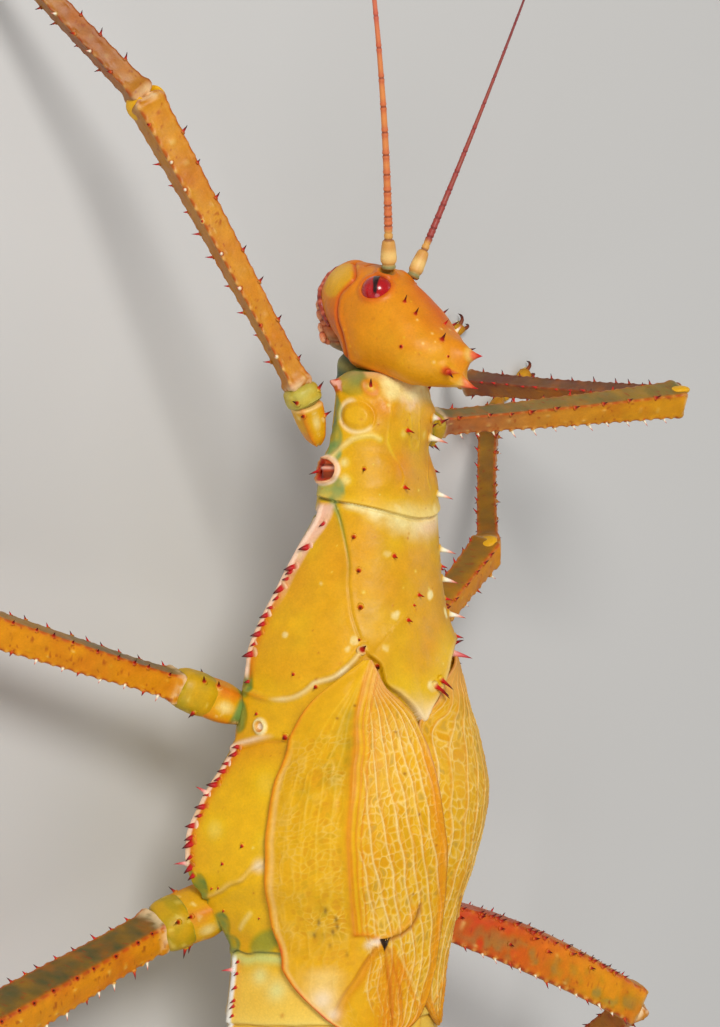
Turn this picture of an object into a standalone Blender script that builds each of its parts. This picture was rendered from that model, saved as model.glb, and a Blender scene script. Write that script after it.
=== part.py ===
"""Adult female jungle nymph stick insect (Heteropteryx dilatata), a life-size still model.

Lengths in the named sizes are millimetres, in a working frame with the head towards -y, the back up, the insect's left
at +x and the soles at z = 0. PLACE then sets the origin under the middle of the whole animal, and MM turns all to metres.
"""

import math

import bmesh
import bpy
import numpy as np

MM = 0.001
PLACE = (-9.26, 28.4, 0.0)  # from the working frame's origin to the middle of the box round the whole animal
GAP = 0.32  # clear space left between pieces that meet

# ---------------------------------------------------------------- named sizes, in millimetres
# Stations along the trunk: y, half width at the side margin, margin height, back height, belly height, roundness.
TRUNK = (
    (-60.0, 6.8, 36.2, 42.6, 31.0, 2.2),
    (-55.0, 8.2, 36.0, 43.8, 29.8, 2.3),
    (-50.0, 8.9, 35.7, 44.2, 29.2, 2.4),
    (-44.0, 9.2, 35.3, 44.3, 28.8, 2.5),
    (-40.0, 9.7, 34.8, 44.4, 28.4, 2.5),
    (-35.0, 10.8, 32.0, 44.9, 26.4, 2.4),
    (-30.0, 12.1, 29.6, 45.4, 24.4, 2.3),
    (-20.0, 14.8, 26.2, 46.6, 20.8, 2.25),
    (-14.0, 15.4, 25.7, 47.2, 18.8, 2.25),
    (-8.4, 16.0, 25.0, 47.8, 17.5, 2.25),
    (0.0, 19.8, 22.0, 48.6, 15.2, 2.2),
    (5.0, 21.4, 20.9, 48.8, 14.6, 2.15),
    (9.0, 21.6, 21.0, 48.5, 14.6, 2.1),
    (14.0, 19.4, 22.8, 47.6, 15.5, 2.1),
    (21.5, 16.9, 25.5, 46.2, 17.0, 2.1),
    (30.0, 17.2, 25.0, 44.6, 17.2, 2.1),
    (38.0, 16.4, 25.0, 43.6, 17.8, 2.1),
    (45.0, 14.9, 25.2, 42.4, 18.6, 2.1),
    (53.0, 12.3, 25.5, 40.6, 19.8, 2.05),
    (60.0, 9.6, 25.7, 38.6, 21.0, 2.0),
    (68.0, 6.2, 25.9, 35.8, 22.4, 2.0),
)
COLUMNS = tuple(zip(*TRUNK))


def smooth(xs, ys, x):
    """A curve with no overshoot through the rows of a table."""
    xs, ys = np.asarray(xs, float), np.asarray(ys, float)
    x = np.clip(np.asarray(x, float), xs[0], xs[-1])
    h = np.diff(xs)
    d = np.diff(ys) / h
    m = np.zeros_like(ys)
    for i in range(1, len(xs) - 1):
        if d[i - 1] * d[i] > 0:
            a, b = 2 * h[i] + h[i - 1], h[i] + 2 * h[i - 1]
            m[i] = (a + b) / (a / d[i - 1] + b / d[i])
    m[0], m[-1] = d[0], d[-1]
    k = np.clip(np.searchsorted(xs, x, side="right") - 1, 0, len(h) - 1)
    t = (x - xs[k]) / h[k]
    return (
        (2 * t**3 - 3 * t**2 + 1) * ys[k]
        + (t**3 - 2 * t**2 + t) * h[k] * m[k]
        + (-2 * t**3 + 3 * t**2) * ys[k + 1]
        + (t**3 - t**2) * h[k] * m[k + 1]
    )


def trunk_sizes(y):
    return [smooth(COLUMNS[0], column, y) for column in COLUMNS[1:]]


BELLY_ROUNDNESS = 1.45


def trunk_point(y, turn, grow=0.0):
    """A point of the trunk's surface: turn is 0 on the back, +90 degrees at the left margin, 180 under the belly."""
    w, zc, zt, zb, n = trunk_sizes(y)
    s = np.abs(turn)
    up = s <= math.pi / 2
    a = np.where(up, s, s - math.pi / 2)
    sa, ca = np.sin(a), np.cos(a)
    sa, ca = np.clip(sa, 0, 1), np.clip(ca, 0, 1)
    e, f = 2 / n, 2 / BELLY_ROUNDNESS
    w, zt, zb = w + grow, zt + grow, zb - grow
    x = np.where(up, w * sa**e, w * ca**f)
    z = np.where(up, zc + (zt - zc) * ca**e, zc - (zc - zb) * sa**f)
    return x * np.sign(turn), np.asarray(y) + 0 * z, z


# Head: distance up its axis, half width, depth in front, depth behind, roundness.
MOUTH, CREST = (-71.9, 30.0), (-59.2, 51.0)
HEAD_LENGTH = math.hypot(CREST[0] - MOUTH[0], CREST[1] - MOUTH[1])
HEAD_UP = ((CREST[0] - MOUTH[0]) / HEAD_LENGTH, (CREST[1] - MOUTH[1]) / HEAD_LENGTH)
HEAD = (
    (-1.0, 1.6, 2.0, 0.8, 2.0),
    (0.0, 3.5, 4.1, 2.2, 2.1),
    (2.9, 5.1, 5.6, 4.3, 2.2),
    (5.8, 6.2, 6.7, 5.1, 2.3),
    (8.7, 6.7, 7.3, 5.7, 2.3),
    (11.6, 7.0, 7.0, 5.9, 2.3),
    (15.5, 6.7, 6.0, 5.4, 2.3),
    (19.4, 6.0, 4.5, 4.6, 2.2),
    (22.3, 4.2, 3.9, 3.4, 2.1),
    (24.5, 1.8, 1.7, 1.4, 2.0),
)
HEAD_COLUMNS = tuple(zip(*HEAD))


def head_point(s, turn, grow=0.0):
    """A point of the head: s runs from mouth to crest, turn is 0 on the face and 90 degrees on the left cheek."""
    hw, f, r, n = [smooth(HEAD_COLUMNS[0], column, s) for column in HEAD_COLUMNS[1:]]
    e = 2 / n
    sa, ca = np.sin(turn), np.cos(turn)
    x = (hw + grow) * np.sign(sa) * np.abs(sa) ** e
    d = np.where(ca > 0, f + grow, r + grow) * np.sign(ca) * np.abs(ca) ** e
    y = MOUTH[0] + HEAD_UP[0] * s - HEAD_UP[1] * d
    z = MOUTH[1] + HEAD_UP[1] * s + HEAD_UP[0] * d
    return x, y, z

# Legs: where the hip leaves the trunk, the end of the hip piece, the knee and the ankle, then how the foot points (degrees
# from straight out, positive backwards) and its length. x is given outwards, so that one rule serves both sides.
ANKLE = 2.3
LEGS = {
    "fore_L": ((8.6, -50.6, 35.9), (13.5, -58.6, 33.9), (32.0, -96.0, 22.8), (52.6, -126.4, ANKLE), (-62.0, 15.0)),
    "fore_R": ((8.6, -50.6, 35.9), (13.6, -53.0, 35.0), (55.3, -57.5, 51.3), (57.0, -61.4, 8.6), (-50.0, 13.0)),
    "mid_L": ((14.6, -13.2, 22.8), (21.0, -15.9, 19.7), (55.0, -26.0, 14.2), (84.6, -31.4, ANKLE), (4.0, 15.0)),
    "mid_R": ((14.6, -12.6, 22.8), (21.0, -15.6, 20.6), (51.4, -34.5, 17.5), (71.6, -56.0, ANKLE), (-34.0, 15.0)),
    "hind_L": ((16.4, 14.8, 21.0), (21.4, 17.2, 16.6), (68.5, 31.3, 14.2), (91.0, 69.0, ANKLE), (50.0, 18.0)),
    "hind_R": ((16.4, 15.0, 21.6), (21.4, 17.6, 17.6), (61.9, 37.2, 38.6), (74.0, 62.6, ANKLE), (56.0, 18.0)),
}
# Half widths of the limb pieces: along each piece, from its base to its end, and how much deeper than wide it is.
LIMBS = {
    "fore": {"coxa": (2.0, 2.7, 2.5), "femur": (1.7, 1.9, 2.05, 2.15, 2.35, 2.6), "tibia": (1.85, 1.7, 1.6, 1.65, 1.85), "deep": 1.05},
    "mid": {"coxa": (2.1, 3.1, 2.8), "femur": (2.1, 2.35, 2.45, 2.5, 2.6, 2.8), "tibia": (1.85, 1.75, 1.65, 1.7, 1.95), "deep": 1.1},
    "hind": {"coxa": (2.5, 3.6, 3.2), "femur": (2.6, 3.2, 3.35, 3.35, 3.35, 3.45), "tibia": (2.3, 2.2, 2.1, 2.1, 2.3), "deep": 1.12},
}
SQUARE = 2.8  # how square a limb is in section


def unit(v):
    v = np.asarray(v, float)
    return v / np.linalg.norm(v)


def side_of(name):
    return 1.0 if name.endswith("_L") else -1.0


def leg_points(name):
    """Hip, hip end, knee, ankle and toe of a leg."""
    hip, base, knee, ankle, (bearing, length) = LEGS[name]
    s = side_of(name)
    points = [np.array((s * p[0], p[1], p[2])) for p in (hip, base, knee, ankle)]
    a = math.radians(bearing)
    toe = points[3] + length * np.array((s * math.cos(a), math.sin(a), 0.0))
    return points + [toe]


def frame_along(p, q):
    """Across and up directions for a limb that runs from p to q: up lies in the vertical plane of the limb."""
    along = unit(np.subtract(q, p))
    across = unit(np.cross(along, (0.0, 0.0, 1.0)))
    return along, across, np.cross(across, along)


def limb_ring(centre, across, up, half, deep, count, grow=0.0, square=SQUARE):
    turn = 2 * math.pi * (np.arange(count) + 0.5) / count
    c, s = np.cos(turn), np.sin(turn)
    e = 2 / square
    a = (half + grow) * np.sign(c) * np.abs(c) ** e
    b = (half * deep + grow) * np.sign(s) * np.abs(s) ** e
    return np.asarray(centre) + a[:, None] * across + b[:, None] * up


def limb_rings(p, q, halves, deep, count, steps, grow=0.0, round_start=0.0, round_end=0.0):
    """Rings along a limb piece, drawn in over round_start and round_end at its two ends."""
    p, q = np.asarray(p, float), np.asarray(q, float)
    along, across, up = frame_along(p, q)
    length = np.linalg.norm(q - p)
    at = np.linspace(0, 1, steps)
    extra = [r / length for r in (0.12 * round_start, 0.45 * round_start) if round_start]
    extra += [1 - r / length for r in (0.12 * round_end, 0.45 * round_end) if round_end]
    at = np.array(sorted(set(at) | set(extra)))
    half = smooth(np.linspace(0, 1, len(halves)), halves, at)
    for r, d in ((round_start, at * length), (round_end, (1 - at) * length)):
        if r:
            k = np.clip(d / r, 0, 1)
            half = half * np.sqrt(np.clip(1 - (1 - k) ** 2 * 0.82, 0, 1))
    start, end = p - along * grow, q + along * grow
    return [limb_ring(start + (end - start) * t, across, up, h, deep, count, grow) for t, h in zip(at, half)]

# Forewings: turn from the back of the inner and outer edge along the trunk, in degrees, and how far each stands off it.
WING_EDGES = (
    (-20.0, 33.0, 38.0), (-17.5, 29.5, 49.0), (-14.5, 22.0, 59.0), (-11.8, 14.5, 65.0), (-8.7, 9.5, 68.0), (-4.6, 6.5, 68.5),
    (0.3, 4.5, 66.5), (6.0, 3.2, 65.0), (12.0, 2.6, 66.5), (17.0, 2.4, 69.0), (20.0, 2.4, 68.5), (22.7, 2.4, 65.0),
    (25.6, 2.4, 58.5), (28.2, 4.0, 48.5), (30.3, 7.0, 38.0), (31.8, 12.0, 27.0),
)
WING_ROWS = (-20.0, -17.5, -14.5, -11.8, -8.7, -4.6, 0.3, 6.0, 12.0, 17.0, 20.0, 22.7, 25.6, 28.2, 30.3, 31.8)
WING_COLUMNS = 9
WING_CLEAR, WING_THICK = 0.4, 0.6
WING_COLUMN_TABLE = tuple(zip(*WING_EDGES))
# Extra height of the wing over the trunk, which gives room for the folded hindwing.
WING_LIFT = ((-20.0, 0.3), (-14.0, 1.1), (-8.0, 2.3), (-3.0, 2.7), (3.0, 2.1), (9.0, 1.2), (14.0, 0.7), (22.0, 0.3), (32.0, 0.2))
WING_LIFT_TABLE = tuple(zip(*WING_LIFT))


def wing_edges(y):
    return tuple(float(smooth(WING_COLUMN_TABLE[0], c, y)) for c in WING_COLUMN_TABLE[1:])


def wing_rise(y, turn):
    """Most over the shoulder of the wing, none at its outer edge."""
    lift = smooth(WING_LIFT_TABLE[0], WING_LIFT_TABLE[1], y)
    outer = np.clip((math.radians(70.0) - np.abs(turn)) / math.radians(34.0), 0, 1)
    return lift * (0.12 + 0.88 * outer * outer * (3 - 2 * outer))


# The right fore foot stands on its tip, so its heel is lifted.
FEET_LIFT = {"fore_R": 6.6}

for old in list(bpy.data.objects):
    bpy.data.objects.remove(old, do_unlink=True)

FINISHES = {
    "cuticle": ((0.79, 0.42, 0.03), 0.42),
    "head_shell": ((0.76, 0.34, 0.02), 0.40),
    "limb_shell": ((0.72, 0.30, 0.03), 0.45),
    "tegmen": ((0.82, 0.52, 0.08), 0.40),
    "eye": ((0.42, 0.01, 0.02), 0.12),
    "feeler": ((0.62, 0.24, 0.05), 0.50),
    "mouth": ((0.66, 0.22, 0.08), 0.50),
}


def finish(name):
    found = bpy.data.materials.get(name)
    if found:
        return found
    colour, roughness = FINISHES[name]
    made = bpy.data.materials.new(name)
    made.use_nodes = True
    shader = made.node_tree.nodes["Principled BSDF"]
    shader.inputs["Base Color"].default_value = (*colour, 1.0)
    shader.inputs["Roughness"].default_value = roughness
    shader.inputs["Metallic"].default_value = 0.0
    made.diffuse_color = (*colour, 1.0)
    return made


def place(points):
    return (np.asarray(points, float) + PLACE) * MM


def new_object(name, parts, material=None, helper=False):
    """One object from (points, faces) parts, its faces turned outwards."""
    mesh = bmesh.new()
    for points, faces in parts:
        made = [mesh.verts.new(p) for p in place(points)]
        for face in faces:
            mesh.faces.new([made[i] for i in face])
    bmesh.ops.recalc_face_normals(mesh, faces=mesh.faces)
    data = bpy.data.meshes.new(name)
    mesh.to_mesh(data)
    mesh.free()
    data.shade_smooth()
    data.set_sharp_from_angle(angle=math.radians(40))
    thing = bpy.data.objects.new(name, data)
    bpy.context.scene.collection.objects.link(thing)
    if material:
        data.materials.append(finish(material))
    if helper:
        thing.hide_render = True
        thing.display_type = "WIRE"
    return thing


def loft(rings):
    """A closed skin over rings of equal count, with flat ends."""
    count = len(rings[0])
    points = np.concatenate(rings)
    faces = []
    for i in range(len(rings) - 1):
        a, b = i * count, (i + 1) * count
        for j in range(count):
            k = (j + 1) % count
            faces.append((a + j, a + k, b + k, b + j))
    faces.append(tuple(range(count)))
    last = (len(rings) - 1) * count
    faces.append(tuple(last + j for j in reversed(range(count))))
    return points, faces


def spine(base, tip, radius, sides=4):
    """A thorn with its foot sunk below base."""
    base, tip = np.asarray(base, float), np.asarray(tip, float)
    along = unit(tip - base)
    side = unit(np.cross(along, (0.31, 0.87, 0.38)))
    other = np.cross(along, side)
    foot = base - along * radius * 1.2
    ring = []
    for j in range(sides):
        a = 2 * math.pi * (j + 0.5) / sides
        ring.append(foot + radius * 1.15 * (math.cos(a) * side + math.sin(a) * other))
    points = np.array(ring + [tip])
    faces = [tuple(reversed(range(sides)))] + [(j, (j + 1) % sides, sides) for j in range(sides)]
    return points, faces


def boolean(thing, other, operation):
    step = thing.modifiers.new(operation.lower() + "_" + other.name, "BOOLEAN")
    step.operation = operation
    step.solver = "EXACT"
    step.object = other


def with_spines(thing, spines):
    if spines:
        boolean(thing, new_object(thing.name + "_spines", spines, helper=True), "UNION")


# ---------------------------------------------------------------- trunk
RING = np.radians([0, 20, 40, 58, 75, 90, 112, 135, 158, 180, -158, -135, -112, -90, -75, -58, -40, -20])
PIECES = (
    ("prothorax", -60.0, -40.0, 7),
    ("mesothorax", -39.7, -8.6, 10),
    ("metathorax", -8.3, 21.3, 11),
    ("abdomen_front", 21.6, 38.0, 5),
    ("abdomen_middle", 38.3, 53.0, 5),
    ("abdomen_rear", 53.3, 68.0, 5),
)


def trunk_ring(y, grow=0.0):
    return np.stack(trunk_point(np.full_like(RING, y), RING, grow), -1)


def outward(y, turn, lean=0.0):
    """The trunk's outward direction at a point, leaned back by lean."""
    p = np.array(trunk_point(y, turn, 0.0)).ravel()
    q = np.array(trunk_point(y, turn, 1.0)).ravel()
    middle = np.array((0.0, y, float(trunk_sizes(y)[1])))
    way = unit(unit(q - p) + 0.6 * unit(p - middle)) + np.array((0.0, lean, 0.0))
    return p, unit(way)


# Thorns of the thorax: station, turn from the back in degrees, length. Rows lie along the back on each side of the
# middle and along the side margins.
BACK_THORNS = (
    (-51.6, 24, 1.5), (-50.8, 33, 2.6), (-42.8, 30, 2.4), (-35.2, 29, 2.6), (-30.8, 29, 2.5), (-25.8, 28, 2.9),
    (-20.4, 32, 3.6), (-16.3, 9, 2.6), (-36.8, 56, 1.3), (-32.1, 47, 1.3), (-27.2, 42, 1.3), (-21.8, 40, 1.6),
)
MARGIN_THORNS = (
    (-37.9, 1.5), (-34.7, 1.5), (-32.4, 1.5), (-29.3, 1.6), (-25.7, 1.6), (-22.8, 1.7), (-19.4, 1.7),
    (-7.4, 1.4), (-4.6, 1.5), (-1.4, 2.0), (2.4, 1.6), (5.2, 1.6), (8.2, 2.0),
)


def trunk_spines(low, high):
    found = []
    for s in (1, -1):
        for y, turn, length in BACK_THORNS:
            if low < y < high:
                p, way = outward(y, math.radians(s * turn), 0.1)
                found.append(spine(p, p + way * length, 0.42))
        for y, length in MARGIN_THORNS:
            if low < y < high:
                p, way = outward(y, math.radians(s * 88), -0.1)
                found.append(spine(p, p + way * length, 0.36))
    return found


trunk = {}
for name, start, end, steps in PIECES:
    rings = [trunk_ring(y) for y in np.linspace(start, end, steps)]
    trunk[name] = new_object(name, [loft(rings)], "cuticle")
    with_spines(trunk[name], trunk_spines(start + 0.6, end - 0.6))
wide_trunk = new_object("trunk_clearance", [loft([trunk_ring(y, GAP) for y in np.linspace(-60.0, 68.0, 44)])], helper=True)

# The long pointed ovipositor: two blades seen as one beak.
BEAK = ((68.3, 6.0, 35.4, 22.6), (71.0, 4.6, 33.6, 23.2), (74.5, 3.1, 31.0, 23.6), (78.0, 1.9, 28.4, 23.9), (80.6, 0.8, 26.2, 24.1))
rings = []
for y, w, top, low in BEAK:
    a = 2 * math.pi * np.arange(12) / 12
    rings.append(np.stack([w * np.sin(a), np.full(12, y), (top + low) / 2 + (top - low) / 2 * np.cos(a)], -1))
new_object("ovipositor", [loft(rings)], "cuticle")

# ---------------------------------------------------------------- head, eyes, mouth, feelers
EYE_AT, EYE_RADIUS, EYE_SUNK = (10.0, 48.0), 2.0, 0.9
HEAD_RING = 2 * math.pi * np.arange(16) / 16
CROWN = ((22.0, 40, 2.6), (22.4, 95, 2.8), (22.6, 150, 3.2))
FACE_THORNS = ((19.5, 32, 1.2), (18.9, 80, 0.9))


def head_ring(s, grow=0.0):
    return np.stack(head_point(np.full(16, s), HEAD_RING, grow), -1)


def head_outward(s, turn, up=0.0):
    p = np.array(head_point(s, turn)).ravel()
    middle = np.array((0.0, MOUTH[0] + HEAD_UP[0] * s, MOUTH[1] + HEAD_UP[1] * s))
    return p, unit(unit(p - middle) + up * np.array((0.0, HEAD_UP[0], HEAD_UP[1])))


head = new_object("head", [loft([head_ring(s) for s in (-0.9, 0.1, 1.6, 3.6, 6.0, 8.6, 11.4, 14.2, 17.0, 19.6, 22.0, 23.6, 24.4)])], "head_shell")
spines = []
for s in (1, -1):
    for at, turn, length in CROWN:
        p, way = head_outward(at, math.radians(s * turn), 1.3)
        spines.append(spine(p - way * 0.3, p + way * length, 0.85, 5))
    for at, turn, length in FACE_THORNS:
        p, way = head_outward(at, math.radians(s * turn), 0.3)
        spines.append(spine(p, p + way * length, 0.36))
with_spines(head, spines)


def ball(centre, radius, across=10, rows=7):
    rings = []
    for i in range(rows + 1):
        a = math.pi * min(max(i, 0.22), rows - 0.22) / rows
        b = 2 * math.pi * np.arange(across) / across
        rings.append(np.asarray(centre) + radius * np.stack([np.sin(a) * np.cos(b), np.sin(a) * np.sin(b), np.full(across, np.cos(a))], -1))
    return loft(rings)


for s, tag in ((1, "L"), (-1, "R")):
    p, way = head_outward(EYE_AT[0], math.radians(s * EYE_AT[1]))
    middle = p - way * EYE_SUNK
    new_object("eye_" + tag, [ball(middle, EYE_RADIUS)], "eye")
    boolean(head, new_object("eye_socket_" + tag, [ball(middle, EYE_RADIUS + GAP)], helper=True), "DIFFERENCE")

# Labium and palps under the mouth, as one piece.
LIP = ((-70.0, 1.6, 29.0, 27.4), (-68.2, 2.4, 30.4, 27.2), (-66.0, 2.7, 31.6, 27.6), (-64.0, 2.4, 32.6, 29.0), (-62.6, 1.4, 33.4, 30.8))
rings = []
for y, w, top, low in LIP:
    a = 2 * math.pi * np.arange(10) / 10
    rings.append(np.stack([w * np.sin(a), np.full(10, y), (top + low) / 2 + (top - low) / 2 * np.cos(a)], -1))
mouthparts = new_object("mouthparts", [loft(rings)], "mouth")
palps = []
for s in (1, -1):
    for path, size in ((((1.5, -67.6, 28.6), (3.5, -66.6, 27.6), (3.4, -69.6, 27.0)), 0.6), (((1.2, -65.0, 29.2), (2.9, -64.2, 27.8), (2.6, -66.6, 26.4)), 0.5)):
        joints = [np.array((s * p[0], p[1], p[2])) for p in path]
        rings = [limb_ring(j, *frame_along(joints[max(i - 1, 0)], joints[min(i + 1, 2)])[1:], size * (1.0, 1.1, 0.8)[i], 1.0, 6, square=2.0) for i, j in enumerate(joints)]
        palps.append(loft(rings))
with_spines(mouthparts, palps)
wide_head = new_object("head_clearance", [loft([head_ring(s, GAP) for s in (-1.2, 0.1, 1.6, 3.6, 6.0, 8.6, 11.4, 14.2, 17.0, 19.6, 22.0, 23.6, 24.7)])], helper=True)
boolean(mouthparts, wide_head, "DIFFERENCE")
boolean(mouthparts, wide_trunk, "DIFFERENCE")
boolean(trunk["prothorax"], wide_head, "DIFFERENCE")

# Feelers: station 0 is the root, and each runs forwards, outwards and up.
FEELER_LENGTH = 58.0
FEELER_SEAT = (9.0, 20.0)


def feeler_path(side, t):
    """A point at t from 0 at the root to 1 at the tip."""
    root, _ = head_outward(FEELER_SEAT[0], math.radians(side * FEELER_SEAT[1]))
    run = t * FEELER_LENGTH
    out = (0.335 * run + 0.0006 * run**2) * side
    return root + np.array((out, -0.915 * run - 0.55, 0.225 * run + 0.35 - 0.0012 * run**2))


def feeler_half(t):
    """Half width: a stout scape, then a thread that thins to the tip."""
    run = t * FEELER_LENGTH
    return float(np.interp(run, (0.0, 0.6, 3.4, 4.2, 5.4, 14.0, 30.0, 58.0), (0.62, 0.92, 0.98, 0.66, 0.62, 0.48, 0.36, 0.26)))


for s, tag in ((1, "L"), (-1, "R")):
    rings = []
    for t in [r / FEELER_LENGTH for r in (0.0, 0.6, 2.0, 3.4, 4.2, 6.0, 10.0, 15.0, 21.0, 28.0, 35.0, 42.0, 50.0, 58.0)]:
        here, ahead = feeler_path(s, t), feeler_path(s, t + 0.01)
        _, across, up = frame_along(here, ahead)
        rings.append(limb_ring(here, across, up, feeler_half(t), 1.0, 6, square=2.0))
    feeler = new_object("antenna_" + tag, [loft(rings)], "feeler")
    boolean(feeler, wide_head, "DIFFERENCE")

# ---------------------------------------------------------------- forewings


def wing_grid(side, lift):
    """Points of one forewing from its root to its tip: rows along the trunk, columns from the middle to the outer edge."""
    rows = []
    for y in WING_ROWS:
        inner, outer = wing_edges(y)
        row = []
        for k in np.linspace(0, 1, WING_COLUMNS):
            turn = math.radians(inner + (outer - inner) * k)
            row.append(np.array(trunk_point(y, side * turn, lift + wing_rise(y, turn))).ravel())
        rows.append(row)
    return rows


def wing_solid(side):
    low, high = wing_grid(side, WING_CLEAR), wing_grid(side, WING_CLEAR + WING_THICK)
    n, m = len(low), WING_COLUMNS
    points = [p for row in low for p in row] + [p for row in high for p in row]
    at = lambda layer, i, j: layer * n * m + i * m + j
    faces = []
    for i in range(n - 1):
        for j in range(m - 1):
            faces.append((at(0, i, j), at(0, i + 1, j), at(0, i + 1, j + 1), at(0, i, j + 1)))
            faces.append((at(1, i, j), at(1, i, j + 1), at(1, i + 1, j + 1), at(1, i + 1, j)))
        faces.append((at(0, i, 0), at(1, i, 0), at(1, i + 1, 0), at(0, i + 1, 0)))
        faces.append((at(0, i + 1, m - 1), at(1, i + 1, m - 1), at(1, i, m - 1), at(0, i, m - 1)))
    for j in range(m - 1):
        faces.append((at(0, 0, j + 1), at(1, 0, j + 1), at(1, 0, j), at(0, 0, j)))
        faces.append((at(0, n - 1, j), at(1, n - 1, j), at(1, n - 1, j + 1), at(0, n - 1, j + 1)))
    return np.array(points), faces


for s, tag in ((1, "L"), (-1, "R")):
    new_object("forewing_" + tag, [wing_solid(s)], "tegmen")

# ---------------------------------------------------------------- legs
SIDES = 8
FOOT_WIDE, FOOT_HIGH = 1.05, 1.7


def foot_parts(ankle, toe, name):
    """The foot: joints that thin and swell along a flat sole on the ground, and two claws."""
    along = toe - ankle
    flat = np.array((along[0], along[1], 0.0))
    length = np.linalg.norm(flat)
    ahead = flat / length
    across = np.array((-ahead[1], ahead[0], 0.0))
    lift = FEET_LIFT.get(name, 0.0)
    rings = []
    for t, wide, high in ((0.0, 0.8, 1.35), (0.1, 1.0, 1.5), (0.3, 0.9, 1.2), (0.5, 0.85, 1.1), (0.66, 0.9, 1.1), (0.74, 0.7, 0.95), (0.92, 0.95, 1.35), (1.0, 0.8, 1.2)):
        ground = lift * max(0.0, 1 - t / 0.72)
        middle = ankle * (1, 1, 0) + ahead * length * t
        w, h = FOOT_WIDE * wide, FOOT_HIGH * high
        ring = [(-0.75, 0.0), (0.75, 0.0), (1.0, 0.35), (0.8, 0.8), (0.3, 1.0), (-0.3, 1.0), (-0.8, 0.8), (-1.0, 0.35)]
        rings.append(np.array([middle + across * w * x + np.array((0, 0, ground + h * z)) for x, z in ring]))
    claws = []
    tip = ankle * (1, 1, 0) + ahead * length
    for s in (1, -1):
        root = tip - ahead * 0.5 + across * 0.55 * s + np.array((0, 0, 1.5))
        claws.append(spine(root, root + ahead * 2.2 + across * 0.9 * s - np.array((0, 0, 0.9)), 0.45))
    return loft(rings), claws


LIMB_THORNS = (0.16, 0.34, 0.52, 0.7, 0.86)

for name in LEGS:
    hip, base, knee, ankle, toe = leg_points(name)
    kind = LIMBS[name[:-2]]
    deep = kind["deep"]
    tag = name
    s = side_of(name)
    inner = hip - unit(base - hip) * 2.5
    coxa = new_object("coxa_" + tag, [loft(limb_rings(inner, base, kind["coxa"], deep, 10, 5, round_end=0.9))], "limb_shell")
    boolean(coxa, wide_trunk, "DIFFERENCE")
    wide_coxa = new_object("coxa_clearance_" + tag, [loft(limb_rings(inner, base, kind["coxa"], deep, 10, 5, grow=GAP, round_end=0.9))], helper=True)
    back = base - unit(knee - base) * 0.1
    femur = new_object("femur_" + tag, [loft(limb_rings(back, knee, kind["femur"], deep, SIDES, 7, round_end=1.6))], "limb_shell")
    along, across, up = frame_along(base, knee)
    thorns = []
    for t in LIMB_THORNS:
        half = float(smooth(np.linspace(0, 1, len(kind["femur"])), kind["femur"], t))
        for a, b in ((0.76, 0.76), (-0.76, 0.76)):
            root = base + (knee - base) * t + across * half * a + up * half * deep * b
            way = unit(across * a + up * b * 1.1 + along * 0.5)
            thorns.append(spine(root, root + way * (1.5 if b > 0 else 1.2), 0.34, 3))
    with_spines(femur, thorns)
    boolean(femur, wide_coxa, "DIFFERENCE")
    wide_femur = new_object("femur_clearance_" + tag, [loft(limb_rings(back, knee, kind["femur"], deep, SIDES, 7, grow=GAP, round_end=1.6))], helper=True)
    tibia = new_object("tibia_" + tag, [loft(limb_rings(knee, ankle, kind["tibia"], deep, SIDES, 5, round_end=0.9))], "limb_shell")
    boolean(tibia, wide_femur, "DIFFERENCE")
    foot, claws = foot_parts(ankle, toe, name)
    tarsus = new_object("tarsus_" + tag, [foot], "limb_shell")
    with_spines(tarsus, claws)
    wide_tibia = new_object("tibia_clearance_" + tag, [loft(limb_rings(knee, ankle, kind["tibia"], deep, SIDES, 5, grow=GAP, round_end=0.9))], helper=True)
    boolean(tarsus, wide_tibia, "DIFFERENCE")
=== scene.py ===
"""Jungle nymph stick insect, the yellow form, as a still, life-size model. One dense skin, painted point by point from
named places on the body, replaces the solids of trunk, head and legs. Wings, eyes, feelers and mouth parts are pieces of
their own. Sizes are millimetres in the body's own frame: the head points to -y, the animal's left is +x, soles at z = 0."""

import math

import bpy
import numpy as np
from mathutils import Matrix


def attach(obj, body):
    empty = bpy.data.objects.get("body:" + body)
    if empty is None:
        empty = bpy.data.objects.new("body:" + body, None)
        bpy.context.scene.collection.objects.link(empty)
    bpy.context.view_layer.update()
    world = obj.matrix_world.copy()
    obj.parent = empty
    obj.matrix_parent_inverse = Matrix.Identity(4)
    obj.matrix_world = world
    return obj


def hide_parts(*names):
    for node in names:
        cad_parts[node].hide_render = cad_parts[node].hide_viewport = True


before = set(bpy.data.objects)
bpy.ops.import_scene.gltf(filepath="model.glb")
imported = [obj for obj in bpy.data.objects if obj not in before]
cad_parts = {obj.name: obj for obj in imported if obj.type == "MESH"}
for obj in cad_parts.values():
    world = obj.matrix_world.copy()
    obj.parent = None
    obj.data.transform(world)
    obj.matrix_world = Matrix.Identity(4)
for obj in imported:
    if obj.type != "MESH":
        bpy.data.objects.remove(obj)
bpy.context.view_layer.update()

MM = 0.001
PLACE = np.array((-9.26, 28.4, 0.0))
COARSE = 1.0

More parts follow.
